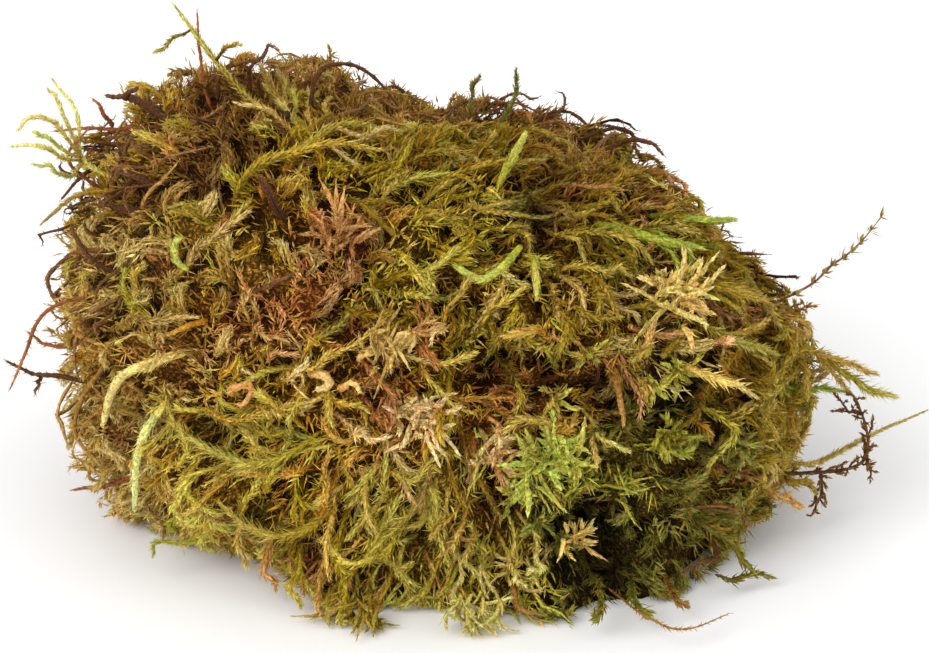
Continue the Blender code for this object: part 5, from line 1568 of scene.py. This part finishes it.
SPRIGS = (
    sprig("golden_shoot", "feather_moss", SLENDER, SHOOT, 0.1,
        (1.4, On(-27.4, 29.4), On(-32, 34.6, 1.5), Off(-36.6, 38, -7), FORK, Off(-44.7, 48.6, 0),
         Off(-48.2, 53.3, 2)),
        (0.6, Off(-45.4, 49.6, 0.8), Off(-48.8, 47.5, -1), Off(-51.6, 45.7, -3)),
        (0.8, FORK, Off(-39.8, 46.5, -5), Off(-37.5, 46.9, -6))),
    sprig("crown_shoot", "feather_moss", FEATHER, OLIVE, 0.1,
        (1.1, CROWN_ROOT, Off(-31.2, 38.2, -6), Off(-33.8, 43.2, -5)),
        (1, CROWN_ROOT, Off(-29.6, 38, -5), Off(-30.8, 42.2, -3))),
    sprig("thin_upright_stem", "bare_stem", BARE, REDDISH, 0.1,
        (0.45, On(-44, 38), Off(-44.1, 44, 7), Off(-44.6, 52.8, 9))),
    sprig("left_frond", "pale_moss", SLENDER, LEMON, 0.35,
        (0.8, On(-58.5, 25), FAN, Off(-64.8, 35.5, -2), Off(-68.5, 41, 0)),
        (0.85, FAN, Off(-67, 36.1, -3), Off(-69.2, 39.3, -2)),
        (0.85, FAN, Off(-67.9, 33.2, -5), Off(-71.9, 34.7, -6), Off(-74.3, 32.9, -6)),
        (0.85, FAN, Off(-69, 31, -6), Off(-71.5, 32.3, -7)),
        (0.8, FAN, Off(-67.4, 28, -8), Off(-70.8, 30.4, -9), Off(-75.2, 30, -9)),
        (0.9, FAN, Off(-65.8, 25, -7), Off(-68.6, 26.3, -9), Off(-71.8, 27, -10))),
    sprig("red_stem", "bare_stem", BARE, REDDISH, 0.1,
        (0.6, On(-52.4, 34.2), KNOT, Off(-68.8, 32.5, 4)),
        (0.6, KNOT, Off(-60.2, 36, 2), Off(-62.1, 38, 2))),
    sprig("bark_flake", "litter", BARE, BARK, 0.1,
        (1.1, On(-50.6, 35.2), Off(-54.4, 37.6, 8), Off(-60, 38.6, 9)),
        (0.8, Off(-56.8, 37.8, 8), Off(-54.5, 40, 8.5))),
    sprig("arched_stem", "bare_stem", BARE, BARK, 0.1,
        (0.6, On(-27, 36), Off(-24.8, 41.5, -2), Off(-21.4, 43.6, 2), Off(-15.8, 42.2, 7), On(-9.8, 34.5, 1))),
    sprig("long_dark_twig", "litter", BARE, BARK, 0.1,
        (0.6, On(-56, 30.5), Off(-60.6, 27.2, 2), Off(-64, 24.6, -2), Off(-67.4, 21, -4))),
    sprig("green_tipped_stem", "bare_stem", SLENDER, OLIVE, 0.1,
        (0.7, On(-57, 23.6), Off(-64.3, 22, -9), Off(-70.4, 17.2, -9))),
    sprig("hooked_stem", "bare_stem", BARE, TWIG, 0.1,
        (0.6, On(-56, 12.5), On(-61.6, 12.6, 1), Off(-66.8, 10.9, -12), Off(-69.4, 8, -13), Off(-68.6, 5, -13),
         Off(-65.8, 2.2, -14))),
    sprig("hanging_stem", "bare_stem", BARE, REDDISH, 0.1,
        (0.5, On(-62, 6), Off(-69.3, 3, -20), Off(-73, -4, -20), Off(-75.8, -10.6, -20))),
    sprig("left_twig", "litter", BARE, REDDISH, 0.1,
        (0.5, On(-63, -2), Off(-68.6, -3.4, -15), Off(-73, -0.8, -14))),
    sprig("forked_twig", "litter", BARE, BARK, 0.1,
        (0.6, On(-63, -9.6), KNEE, Off(-76.6, -5.6, -16)),
        (0.5, KNEE, Off(-71.6, -11.3, -16))),
    sprig("upright_shoot_1", "fresh_moss", FEATHER, DEEP, 0.1,
        (0.9, On(0.4, 34), Off(1.3, 38.6, 21), Off(2.4, 41.6, 20))),
    sprig("upright_shoot_2", "fresh_moss", FEATHER, DEEP, 0.1,
        (0.8, On(4.6, 33.5), Off(8.3, 38, 20), Off(8.6, 42.8, 18))),
    sprig("ridge_stem", "litter", BARE, BARK, 0.1,
        (0.7, On(21, 28), Off(25.5, 30.6, 20), Off(30.5, 30.8, 18), Off(33.4, 28.4, 17))),
    sprig("right_green_shoot", "fresh_moss", BRAIDED, VIVID, 0.1,
        (1.1, On(32, 19.5), On(38.5, 17.6, 1), Off(45.1, 17.8, -18))),
    sprig("bright_shoot_4", "fresh_moss", BRAIDED, VIVID, 0,
        (1.5, On(22, 17.5, -1), On(27, 15.5, 1.2), On(32.5, 13.6, 1.4), On(38.5, 12.6, 1.4))),
    sprig("beaded_spray", "bare_stem", BEADED, TWIG, 0.1,
        (1, On(51, 2.6), Off(57.6, 7, -20), Off(62, 10.6, -20), Off(65.6, 13.6, -19), Off(70.1, 19.1, -18))),
    sprig("drooping_shoot_1", "feather_moss", FEATHER, OLIVE, 0.2,
        (1.3, On(41, 9.5, -1), On(46.5, 5.4, 1.4), On(51, 0.4, 1.6), Off(57.6, -1.6, -19))),
    sprig("drooping_shoot_2", "feather_moss", FEATHER, OLIVE, 0.2,
        (1.3, On(38, 1.5, -1), On(44, -2.2, 1.4), On(50.5, -4.6, 1.6))),
    sprig("thick_feather_shoot", "feather_moss", FEATHER, OLIVE, 0.1,
        (1.3, On(52.4, -3.6), FEATHER_STEM, Off(63.6, -6.2, -21), Off(68.4, -7.9, -20)),
        (1.5, FEATHER_STEM, Off(63, -7.8, -21), Off(67.4, -10.2, -21), Off(71.4, -11.6, -20)),
        (0.9, FEATHER_STEM, Off(61.6, -8.2, -22), Off(64.6, -11.4, -22))),
    sprig("green_side_shoot", "fresh_moss", FEATHER, VIVID, -0.2,
        (1.1, On(53, -10.2), Off(57.8, -10.4, -18), Off(63, -10.8, -16))),
    sprig("fern_stem", "bare_stem", CURLY, BARK, 0.1,
        (0.9, On(50, -25.4), FERN_FORK, Off(64, -23.6, -22), FERN_CROOK, Off(67.3, -17.8, -22),
         Off(64.9, -11.2, -22)),
        (0.8, FERN_FORK, Off(59.4, -28.1, -22), Off(57.8, -31.7, -22)),
        (0.8, Off(66.6, -14.6, -22), Off(64.4, -14.3, -22), Off(62.6, -12.2, -22)),
        (0.8, FERN_CROOK, Off(67.8, -24.9, -22))),
    sprig("pale_side_shoot", "pale_moss", SLENDER, FAWN, 0.25,
        (0.9, On(51, -21.4), Off(57, -22.9, -15), Off(62, -21.2, -13), Off(68, -18, -13), Off(76.8, -14.1, -13))),
    sprig("lower_right_shoot", "feather_moss", RAGGED, DEEP, -0.1,
        (1.5, On(38, -32), Off(43, -35.2, -40), Off(46.4, -38.6, -40), LOWER_BEND),
        (0.8, Off(41.6, -41.3, -42), Off(45, -42, -41), LOWER_BEND, Off(51.2, -41.8, -39))),
    sprig("dark_root", "litter", BARE, BARK, 0.1,
        (0.6, On(41.6, -34.6), Off(42.4, -38.4, -43), Off(38.4, -39.8, -46), Off(36.2, -41.2, -47))),
    sprig("bottom_twig", "litter", BARE, BROWN, 0.1,
        (0.7, On(8.2, -43.6, -1), Off(9.4, -47.4, -51), Off(14.4, -48.1, -50))),
    sprig("bottom_thread", "litter", BARE, BROWN, 0.1,
        (0.3, On(24, -44, -1), Off(30.4, -48.8, -57), Off(36.6, -50.2, -59), Off(44.3, -47.8, -53))),
    sprig("lower_left_shoot", "feather_moss", FEATHER, LIME, 0.1,
        (0.8, On(-41, -31, -1), Off(-43.8, -34.1, -37), Off(-47.2, -35.6, -37), Off(-51.2, -36.2, -36),
         Off(-51.9, -38, -37))),
    sprig("brown_stub", "bare_stem", FEATHER, BROWN, 0.1,
        (0.8, On(-52, -26.5, -1), Off(-52.2, -29.6, -29), Off(-50.9, -32.2, -29), Off(-50.2, -35.4, -30))),
    sprig("low_left_stem", "bare_stem", BARE, REDDISH, 0.1,
        (0.6, On(-54.4, -24.8), Off(-60, -26.4, -22), Off(-65.4, -27.3, -22))),
    sprig("pale_hanging_shoot", "pale_moss", BRAIDED, LEMON, 0.45,
        (1.3, On(-50.4, -12.6, -1), On(-51.8, -17.2, 1.3), On(-53.2, -22.4, 1.6), Off(-55, -30.4, -33))),
    sprig("pale_curved_shoot", "pale_moss", BRAIDED, STRAW, 0.4,
        (1.5, On(-46.4, -4, -1), On(-50.6, -5.8, 1.4), On(-56, -8.8, 1.7), Off(-60.3, -16.3, -30))),
    sprig("bright_shoot_1", "fresh_moss", BRAIDED, FRESH, 0.3,
        (1.3, On(10, 14, -1), On(6.5, 10, 1.6), On(2.5, 7.4, 2), On(-1.5, 9.5, 2))),
    sprig("bright_shoot_2", "fresh_moss", BRAIDED, FRESH, 0.2,
        (1.2, On(12, 12, -1), On(11.5, 9, 1.4), On(11.5, 4.5, 1.8))),
    sprig("bright_shoot_3", "fresh_moss", BRAIDED, FRESH, 0.1,
        (1.2, On(5.6, 23.4, -1), On(7.6, 27, 1.6), On(9.6, 30.6, 2))),
    sprig("feather_shoot_1", "feather_moss", FEATHER, LIME, 0.2,
        (1.5, On(-24, -17.5, -1), On(-31, -22, 1.4), On(-38, -21.4, 1.6), On(-44, -18.4, 1.8))),
    sprig("feather_shoot_2", "feather_moss", FEATHER, LIME, 0.1,
        (1.5, On(-21, -30, -1), On(-27, -33.4, 1.5), On(-33.6, -33.2, 1.7), On(-39, -29, 1.9))),
    sprig("curled_leaf", "fresh_moss", BRAIDED, FRESH, 0.65,
        (1.1, On(-46.6, 9.4, -1), On(-47.8, 12, 1.2), On(-46.4, 14.2, 1.4))),
    sprig("fir_needle", "litter", FLAT, BARK, -0.2,
        (0.9, On(-29.1, 16.9, -1), On(-31.4, 20.6, 1.4), On(-33.3, 24.4, 2))),
    sprig("dark_twig", "litter", BARE, BARK, 0.1, (0.6, On(-40.4, 3.2, -1), On(-33, 6.2, 1), On(-25.8, 9.4, 1.2))),
    sprig("orange_stem", "bare_stem", BARE, ORANGE, 0.1,
        (0.7, On(-43.3, 1.1, -1), On(-46.6, -0.4, 1), On(-50.2, -2, 1))),
    sprig("brown_hanging_stem", "bare_stem", BARE, BROWN, 0.15,
        (0.9, On(25.4, -6.6, -1), On(25.2, -11, 1.4), On(25.4, -16.4, 1.8))),
    sprig("straw_head_stalk", "pale_moss", RAGGED, FAWN, 0.3,
        (1.2, On(28.4, -6.6, -1), On(29.4, -2.6, 1.5), On(30.6, 0.2, 1.6))),
    sprig("straw_head_arm", "pale_moss", RAGGED, STRAW, 0.1,
        (1.8, On(37.2, -6.4, -1), On(41.6, -8.8, 1.8), On(46.8, -11.4, 2))),
    sprig("back_shoot_1", "feather_moss", FEATHER, LIME, 0.1,
        (1.4, Behind(150, 30, -1), Behind(162, 26, 1.4), Behind(174, 20, 1.6), Behind(184, 12, 1.8))),
    sprig("back_shoot_2", "feather_moss", FEATHER, GOLDEN, 0.1,
        (1.4, Behind(214, 38, -1), Behind(206, 28, 1.4), Behind(200, 16, 1.8), Behind(196, 4, 2))),
)


@dataclass(frozen=True)
class Rope:
    """A strand of the mat that stands out among the others."""

    look: Look
    tint: Tint
    width: float
    ripeness: float
    spots: tuple[tuple[float, ...], ...]  # its route in the view, with a depth too where it hangs off the mat

    def grow(self, ground: Ground, tangle: Tangle) -> None:
        """Lays the strand over the growth and leaves it."""
        laid = np.array([ground.seen(*spot) for spot in self.spots if len(spot) == 2])
        lifts = np.array([-1.2] + [1.3] * (len(self.spots) - 2) + [0.7])[: len(laid)]
        laid = ground.settled(laid, -lifts - HEAP * heaped(laid))
        hung = [ground.free(*spot) for spot in self.spots[len(laid) :]]
        paths = line([*laid, *hung], 14, 0.5, FLOOR_GAP + 0.5 + 0.3 * self.width, tangle.rng)
        Shoot(tangle, paths, self.width, self.tint, self.ripeness).grow(self.look)


# Each row: look, tint, half width, ripeness, and the route.
ROPE_ROWS = (
    # golden feather moss at the lower left
    (SHAGGY, GOLDEN, 1.3, 0.25, (-44.5, -13.4), (-37.8, -15), (-29, -13.4), (-23, -11.6)),
    (SHAGGY, LIME, 1.5, 0.4, (-34.8, -29.6), (-32, -25.3), (-30.4, -20), (-28, -16.3)),
    (SHAGGY, LIME, 1.2, 0.3, (-37.8, -32.6), (-36.3, -28.3), (-34, -25.3)),
    (SHAGGY, ORANGE, 1.3, 0.3, (-26, -35.6), (-23.8, -30.4), (-23, -25.3), (-21.4, -20)),
    (SHAGGY, LIME, 1.8, 0.55, (-16.3, -38.6), (-14, -34), (-12.6, -30.4), (-10.4, -27.4)),
    (SHAGGY, ORANGE, 1.1, 0.15, (-21.4, -20), (-20, -24.4), (-15.6, -28.3)),
    (SHAGGY, GOLDEN, 1.2, 0.35, (-15.6, -25.3), (-9.6, -23.8), (-4.4, -21.6)),
    (SHAGGY, GOLDEN, 1.2, 0.35, (-11.6, -30), (-12.8, -26), (-13.3, -21)),
    (SHAGGY, GOLDEN, 1.3, 0.3, (-26, -18), (-30.6, -12), (-36, -10.4)),
    (SHAGGY, CREAM, 1.2, 0.1, (-23, -14), (-17.6, -17.4), (-12.4, -18)),
    (SHAGGY, LIME, 1.2, 0.3, (-3, -37), (-4.6, -31.3), (-5.4, -26.3)),
    (SHAGGY, LIME, 1.3, 0.45, (1, -44), (2.6, -39), (1, -32.3)),
    (SHAGGY, OLIVE, 1.2, 0.4, (6, -43), (8.4, -37.3), (7.6, -32.3)),
    (SHAGGY, LIME, 1.2, 0.35, (-45, -22), (-46.6, -27), (-45.4, -31.6)),
    (SHAGGY, FRESH, 1.1, -0.1, (-46.4, -30.6), (-47.6, -32.4), (-49, -32.8)),
    # rust and cream above it
    (SHAGGY, GOLDEN, 1.1, 0.4, (-32, -7.4), (-26, -6.8), (-20, -3.8), (-14, 0)),
    (SHAGGY, CREAM, 1, 0.1, (-33.6, -9.4), (-28.4, -8.2), (-25.6, -5.4)),
    (SHAGGY, RUST, 1, 0.35, (-12.6, -3.8), (-8, -1.6), (-3.8, 0)),
    (BARE, CREAM, 1.3, 0.1, (-26.6, -7.3), (-23.8, -8), (-22.8, -9.6), (-24.8, -10.6)),
    (BARE, RUST, 0.9, 0.3, (-39, -12), (-38.2, -10.2), (-36, -10.4), (-35.8, -12.2), (-37.6, -12.8)),
    (SHAGGY, FAWN, 1.1, 0.05, (-60.8, -0.6), (-52.4, 1), (-43.3, 1.4)),
    (SLENDER, LIME, 1, 0.4, (-56, 3.4), (-56.4, 7.8), (-55.6, 10.8)),
    (SLENDER, LIME, 0.9, 0.3, (-54.6, 4), (-54.2, 7.8), (-52.8, 10)),
    (BARE, CREAM, 0.9, 0, (-12.4, -3), (-10.4, -1.4), (-8.4, -2.6), (-9.4, -4.6)),
    (SLENDER, CREAM, 0.8, 0, (-33.4, -6.2), (-30.8, -4.4), (-28, -5)),
    (BARE, CREAM, 0.8, -0.1, (-21, -10.8), (-18.6, -9.4), (-16.8, -11)),
    (SLENDER, CREAM, 0.9, 0, (-8.6, -1), (-6.2, 0.6), (-4.2, -0.6), (-5.4, -2.6)),
    (SLENDER, FAWN, 0.9, 0.3, (-36.4, -2), (-33, -0.8), (-29.4, -2.4)),
    (SLENDER, CREAM, 0.8, -0.1, (-41, -8), (-38.2, -6.8), (-35.6, -8)),
    (BARE, CREAM, 0.7, 0, (-17.4, -6), (-15.6, -4.2), (-13.2, -4.8)),
    (SLENDER, CREAM, 0.9, 0.1, (4, -15), (5.4, -17.4), (8, -18.4)),
    (SLENDER, CREAM, 0.9, 0.1, (40.4, -4.4), (42.4, -1.8), (45.4, -2.4)),
    # twigs on the left shoulder and on the rim
    (BARE, BARK, 0.7, 0, (-53, 19.7), (-58, 19.6), (-62, 19.2), (-65.2, 19, -4)),
    (BARE, BARK, 0.7, 0.1, (-58, 9), (-62, 12.4), (-65.6, 16.9, -8)),
    (BARE, BARK, 0.9, 0.1, (-52, 23.6), (-55, 24.8), (-60, 27.2)),
    (BARE, TWIG, 0.5, 0.2, (-62, 14), (-65.6, 8.6, -13), (-64, 4.6, -14), (-60, 2, -16)),
    (BARE, REDDISH, 0.5, 0.2, (-60, 22), (-64.6, 25.6, -4), (-66, 29.6, -4), (-62, 33.6, -2)),
    (BARE, BARK, 0.6, 0.1, (-42, 38), (-40, 43.2, -2), (-36, 44.2, -2)),
    (BARE, BARK, 0.5, 0.1, (-36, 38), (-35.6, 44, -3), (-33.6, 46.4, -3), (-31.4, 46.6, -2)),
    (BARE, REDDISH, 0.6, 0.2, (-33, 38), (-30.6, 41.6, -2), (-28, 43.4, 0)),
    (BARE, BARK, 0.9, 0, (-30, 34), (-27.6, 39, -1), (-25.6, 41.8, 0)),
    (BARE, TWIG, 0.5, 0.3, (-24, 33.6), (-18, 35), (-12, 36.2)),
    (BARE, BARK, 0.5, 0.1, (-12, 34), (-4, 35.6), (4, 34.6)),
    (BARE, TWIG, 0.5, 0.2, (6, 33), (14, 33), (22, 29.6)),
    (BARE, TWIG, 0.5, 0.3, (-58, 6), (-60, 4), (-64.4, 0.6, -20), (-65.4, -5, -21), (-64, -9, -21)),
    (BARE, BROWN, 0.6, 0.2, (-58, -5), (-61, -8), (-64.6, -14, -22), (-63, -20, -24), (-60, -24, -26)),
    (BARE, BROWN, 0.5, 0.3, (-58, -4), (-62, -2), (-64.4, 2, -18), (-66.6, 3.4, -18)),
    (BARE, TWIG, 0.45, 0.3, (-12, 36), (-7, 38), (-2, 37), (2, 34)),
    (BARE, REDDISH, 0.4, 0.4, (4, 35), (10, 35.4), (16, 33.4), (20, 29.6)),
    (BARE, BARK, 0.5, 0.1, (10, 33), (16, 34.4), (23, 31.8), (28, 28.6)),
    (BARE, TWIG, 0.45, 0.2, (20, 28), (24, 30.4), (29, 29.6), (32, 26)),
    (BARE, BARK, 0.5, 0.1, (24, 25), (29, 27), (33, 25.4), (36, 21.6)),
    (BARE, BROWN, 0.4, 0.2, (-20, 33), (-14, 33.4), (-8, 31.4)),
    (BARE, BARK, 0.5, 0.1, (-16, 37), (-11, 38.6), (-6, 36.4)),
    (BARE, BARK, 0.4, 0.2, (-6, 33), (0, 35.6), (7, 36), (12, 33.6)),
    (BARE, TWIG, 0.4, 0.4, (-2, 36.4), (4, 36.8), (9, 34.4)),
    (BARE, BARK, 0.5, 0, (14, 30), (20, 31.6), (27, 30), (31, 27.4)),
    (BARE, TWIG, 0.4, 0.3, (12, 29), (19, 28.6), (26, 26)),
    (BARE, BARK, 0.5, 0.1, (27, 26), (31, 27.6), (34.6, 24.6), (36.6, 19)),
    (BARE, TWIG, 0.45, 0.3, (-48, 30), (-43, 34.6), (-38, 36)),
    (BARE, BROWN, 0.45, 0.3, (-56, 17), (-51, 21.6), (-46, 27)),
    (BARE, TWIG, 0.4, 0.4, (-54, 26), (-48, 26.6), (-42, 30)),
    (SLENDER, FAWN, 0.8, 0.25, (-27, 32), (-29.6, 36), (-33, 39.6)),
    (SLENDER, OLIVE, 0.8, 0.3, (-27, 32), (-28, 36.6), (-29.6, 40)),
    (SLENDER, FAWN, 0.7, 0.1, (-26.6, 32), (-25.6, 36), (-26, 39.6)),
    (SLENDER, OLIVE, 0.8, 0.2, (-26.6, 31.6), (-23.6, 35), (-22, 38)),
    (SLENDER, FAWN, 0.8, 0.2, (-27, 31.6), (-31.6, 34), (-37, 36)),
    # on the crown
    (SHAGGY, LIME, 1.4, 0, (-38, 24.4), (-32, 27.4), (-23.4, 28.8), (-13, 29.3)),
    (SHAGGY, OLIVE, 1.3, 0.1, (-40.4, 19.3), (-34.8, 25.6), (-28.4, 30), (-19.6, 32), (-11.4, 32.6)),
    (SHAGGY, FAWN, 1.3, 0.25, (-52.3, 6.6), (-46.6, 10.4), (-41, 14.8), (-36.6, 19.3)),
    (SHAGGY, OLIVE, 1.2, 0, (-5.8, 22.8), (2.6, 26), (12.6, 27)),
    (SHAGGY, OLIVE, 1.3, 0.4, (-17, 22), (-10.4, 24.6), (-3, 24.4)),
    # in the middle and at the right
    (SHAGGY, OLIVE, 1.2, 0.5, (16, 9.2), (22, 10.2), (27.8, 8.6)),
    (SHAGGY, OLIVE, 1.4, 0.2, (15.6, 15.6), (20, 16.4), (26, 13.6), (31, 10.8)),
    (SHAGGY, OLIVE, 1.2, 0.1, (37, -3.3), (43.3, -1.4), (53, 2.3)),
    (SHAGGY, OLIVE, 1.3, 0.1, (32.6, 7.8), (42.6, 6), (50.4, 2.8)),
    (SHAGGY, GOLDEN, 1.2, 0.3, (2.6, -0.6), (6, 4.4), (9.3, 6)),
    (SHAGGY, GOLDEN, 1.3, 0.3, (-4, -0.6), (-1.6, 4.4), (1, 7.8)),
    (SHAGGY, ORANGE, 1.4, 0.4, (16, -3), (11, -0.8), (6.4, -1.6)),
    # green at the lower right
    (SLENDER, LEMON, 0.9, -0.1, (20.6, -13.8), (22.6, -18), (26.4, -20.3)),
    (SLENDER, LEMON, 0.8, -0.2, (23.4, -15), (21, -19.6), (22.4, -24)),
    (SHAGGY, FRESH, 1.3, 0.35, (12.6, -19), (9.3, -24), (8.4, -29)),
    (SHAGGY, FRESH, 1.2, 0.2, (16, -29), (18.4, -24.8), (21, -21.4)),
    (SHAGGY, PEAT, 1.3, 0, (39.3, -12.3), (42.6, -17.3), (39.3, -22.3)),
    (SHAGGY, GOLDEN, 1.5, 0.5, (17, -16.4), (11, -15.3), (5.8, -17.4)),
    (CURLY, TWIG, 0.9, 0.1, (40, -22), (46, -24.4), (51, -25)),
    (CURLY, BROWN, 0.8, 0.1, (44, 6), (48.6, 4.6), (53.6, 1.6, -18), (57, 3.4, -19)),
    (CURLY, TWIG, 0.8, 0.1, (38, 4), (44, 1.6), (50, 1.2)),
    (CURLY, TWIG, 0.8, 0, (36, -30), (38, -30), (42.6, -29.4), (47, -31.6, -36)),
    (SLENDER, LEMON, 1, 0.1, (-2, -36), (-0.6, -40), (-2.2, -43.6)),
    (SLENDER, LEMON, 1, 0, (6, -35), (7.6, -39), (9.8, -42.6)),
    (SLENDER, STRAW, 0.9, 0.1, (2, -33), (0.4, -37), (1.6, -41.4), (3.6, -44)),
    (SLENDER, LEMON, 0.9, 0, (9, -32), (11.8, -36), (10, -39.4)),
    (SLENDER, STRAW, 0.9, 0.2, (4, -37), (3, -41), (5.4, -44.6)),
    # hanging over the lower edge and off the sides
    (SHAGGY, FAWN, 1.3, 0.2, (-38, -33), (-37, -37, -41), (-36.4, -39.6, -42.5)),
    (SHAGGY, RUST, 1.3, 0.15, (-33, -35), (-32.6, -40, -44.5), (-31.6, -43.6, -45)),
    (SHAGGY, LIME, 1.3, 0.1, (-28, -37), (-28.6, -43, -47.5), (-27.4, -46.4, -48)),
    (SHAGGY, FAWN, 1.3, 0.1, (-24, -39), (-24.6, -45, -49.5), (-23.4, -49.4, -50)),
    (SHAGGY, LIME, 1.2, 0.2, (-20, -41), (-20.6, -47, -51.5), (-20.2, -51, -52)),
    (SHAGGY, DEEP, 1.3, -0.1, (22, -42), (22.6, -46.6, -55), (22, -48.6, -55.5)),
    (SHAGGY, DEEP, 1.3, 0, (28, -42), (29, -46.4, -53), (30.6, -48.4, -53)),
    (SHAGGY, BROWN, 1.2, -0.1, (33, -41), (35, -45, -50.5), (37, -46.6, -50)),
    (SHAGGY, OLIVE, 1.5, 0, (49, -22), (54.6, -25, -22), (58.4, -27.4, -22)),
    (SHAGGY, FAWN, 1.3, 0, (48, -25), (53, -28.4, -24), (56, -30, -24)),
    (SHAGGY, OLIVE, 1.2, 0, (50, 2), (55.6, 1, -19), (57.8, -2, -19)),
    (SHAGGY, FAWN, 1.1, 0, (-57, -22), (-60, -25.5, -24), (-62, -27, -24)),
    (SHAGGY, FAWN, 1.1, 0, (-60, -14), (-64.6, -17, -20), (-66, -20, -20)),
)
ROPES = [Rope(*row[:4], row[4:]) for row in ROPE_ROWS]


@dataclass(frozen=True)
class Tuft:
    """A peat-moss head or a tuft of old leaves that is a piece of its own."""

    node: str
    slot: str
    tint: Tint
    spot: On | Off
    radius: float
    arms: int = 26
    heading: float = 90.0  # degrees in the view: which way its arms lean
    ripeness: float = 0.1
    leaf: tuple[float, float] = (1.5, 0.5)  # a leaf's length and width
    curl: float = 0.35  # how far its arms' tips bend aside, as a share of its radius

    def grow(self, ground: Ground, rng: Random) -> Tangle:
        """Sets the tuft's arms and their leaves."""
        tangle = Tangle(f"{self.node}_grown", self.slot, rng)
        centre = self.spot.place(ground)
        if isinstance(self.spot, Off):
            centre[2] = max(centre[2], 1.5)
        out = unit(centre - HEART)
        turn = math.radians(self.heading)
        flow = math.cos(turn) * RIGHTWARD + math.sin(turn) * UPWARD
        paths = bunch(centre, out, flow, self.radius, self.arms, rng)
        bend = unit(rng.normal(0, 1, (self.arms, 3))) * rng.uniform(0, self.curl, (self.arms, 1)) * self.radius
        points = paths.points + bend[:, None, :] * (np.linspace(0, 1, paths.points.shape[1]) ** 1.7)[None, :, None]
        points[..., 2] = np.maximum(points[..., 2], 0.6)
        paths = Paths(points, paths.out)
        glow = self.ripeness + rng.normal(0, 0.14, self.arms)
        tangle.leaves(paths, 5.2, *self.leaf, 30, self.tint, glow, curl=0.3, dead=0.25)
        tangle.leaves(paths, 1.1, self.leaf[0] * 1.2, 0.16, 55, self.tint, glow + 0.1, curl=0.4, dead=0.25)
        tangle.tubes(paths, rng.uniform(0.2, 0.5, self.arms), self.tint, 5, (0.8, 1, 0.9, 0.5), glow, flat=0.5)
        return tangle


TUFTS = (
    Tuft("bottom_tuft_left", "pale_moss", OLIVE, Off(-18.6, -47.8, -52), 6.0, 36, -80),
    Tuft("bottom_tuft_middle", "pale_moss", LEMON, Off(1.6, -47.8, -54), 5.4, 34, -90, -0.05),
    Tuft("straw_head", "pale_moss", STRAW, On(34.6, 4.6, 2.2), 6.0, 48, 50, 0.3, (1.7, 0.8)),
    Tuft("straw_tuft_1", "pale_moss", CREAM, On(-7.8, -15.6, 1.4), 4.9, 42, 60, 0.3, (1.6, 0.7)),
    Tuft("straw_tuft_2", "pale_moss", CREAM, On(4.4, -21.6, 1.4), 3.6, 28, 80, 0.1, (1.5, 0.7)),
    Tuft("rust_tuft_1", "rust_moss", RUST, On(-20.8, 15.4, 1.0), 4.8, 62, 60, 0.12, (1.2, 0.45), 0.85),
    Tuft("rust_tuft_2", "rust_moss", FAWN, On(-13.6, -3.9, 1.2), 4.0, 44, 30, 0.12, (1.2, 0.4), 0.85),
    Tuft("peat_head_1", "peat_moss", FRESH, On(14.4, -21.6, 1.8), 5.4, 48, 90, 0.4, (1.7, 0.95)),
    Tuft("peat_head_2", "peat_moss", PEAT, On(33.4, -19.4, 1.6), 4.6, 34, 90, -0.1, (1.5, 0.75)),
    Tuft("peat_head_3", "peat_moss", DEEP, On(44.6, -20.4, 1.6), 4.2, 30, 60, 0.15, (1.4, 0.7)),
    Tuft("lone_peat_head", "pale_moss", STRAW, On(18.4, -34.4, 1.8), 3.8, 22, 90, 0.0, (1.6, 0.6)),
)


def mat_ground() -> Ground:
    """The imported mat's form."""
    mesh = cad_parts["moss_mat"].data
    return Ground(BVHTree.FromPolygons(corners_of(mesh).tolist(), [tuple(p.vertices) for p in mesh.polygons]))


def main() -> None:
    """Builds the finishes, the mat's growth, the sprigs and tufts, and the studio."""
    logging.basicConfig(level=logging.INFO, format="%(message)s")
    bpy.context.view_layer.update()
    ground = mat_ground()
    moss = Finish("moss", 0.75, 0.22).material()
    dry = Finish("dry_growth", 0.85, 0.2).material()
    stems = Finish("stems", 0.7, 0.25).material()
    finishes = {kind: moss for kind in Kind} | {WOOL: dry, WIRE: stems}
    sward = Sward(Bed(ground, np.random.default_rng(11)), finishes)
    sward.pile(sward.core(old_growth_finish()))
    sward.sow()
    sward.build()
    ropes = Tangle("long_strands", "feather_moss", np.random.default_rng(8))
    for rope in ROPES:
        rope.grow(ground, ropes)
    ropes.build(moss, "moss_mat")
    rng = np.random.default_rng(5)
    for each in SPRIGS:
        each.grow(ground, rng).build(stems if each.slot in ("bare_stem", "litter") else moss, each.node)
    for tuft in TUFTS:
        tuft.grow(ground, rng).build(moss, tuft.node)
    Studio().build()


if __name__ == "__main__":
    main()
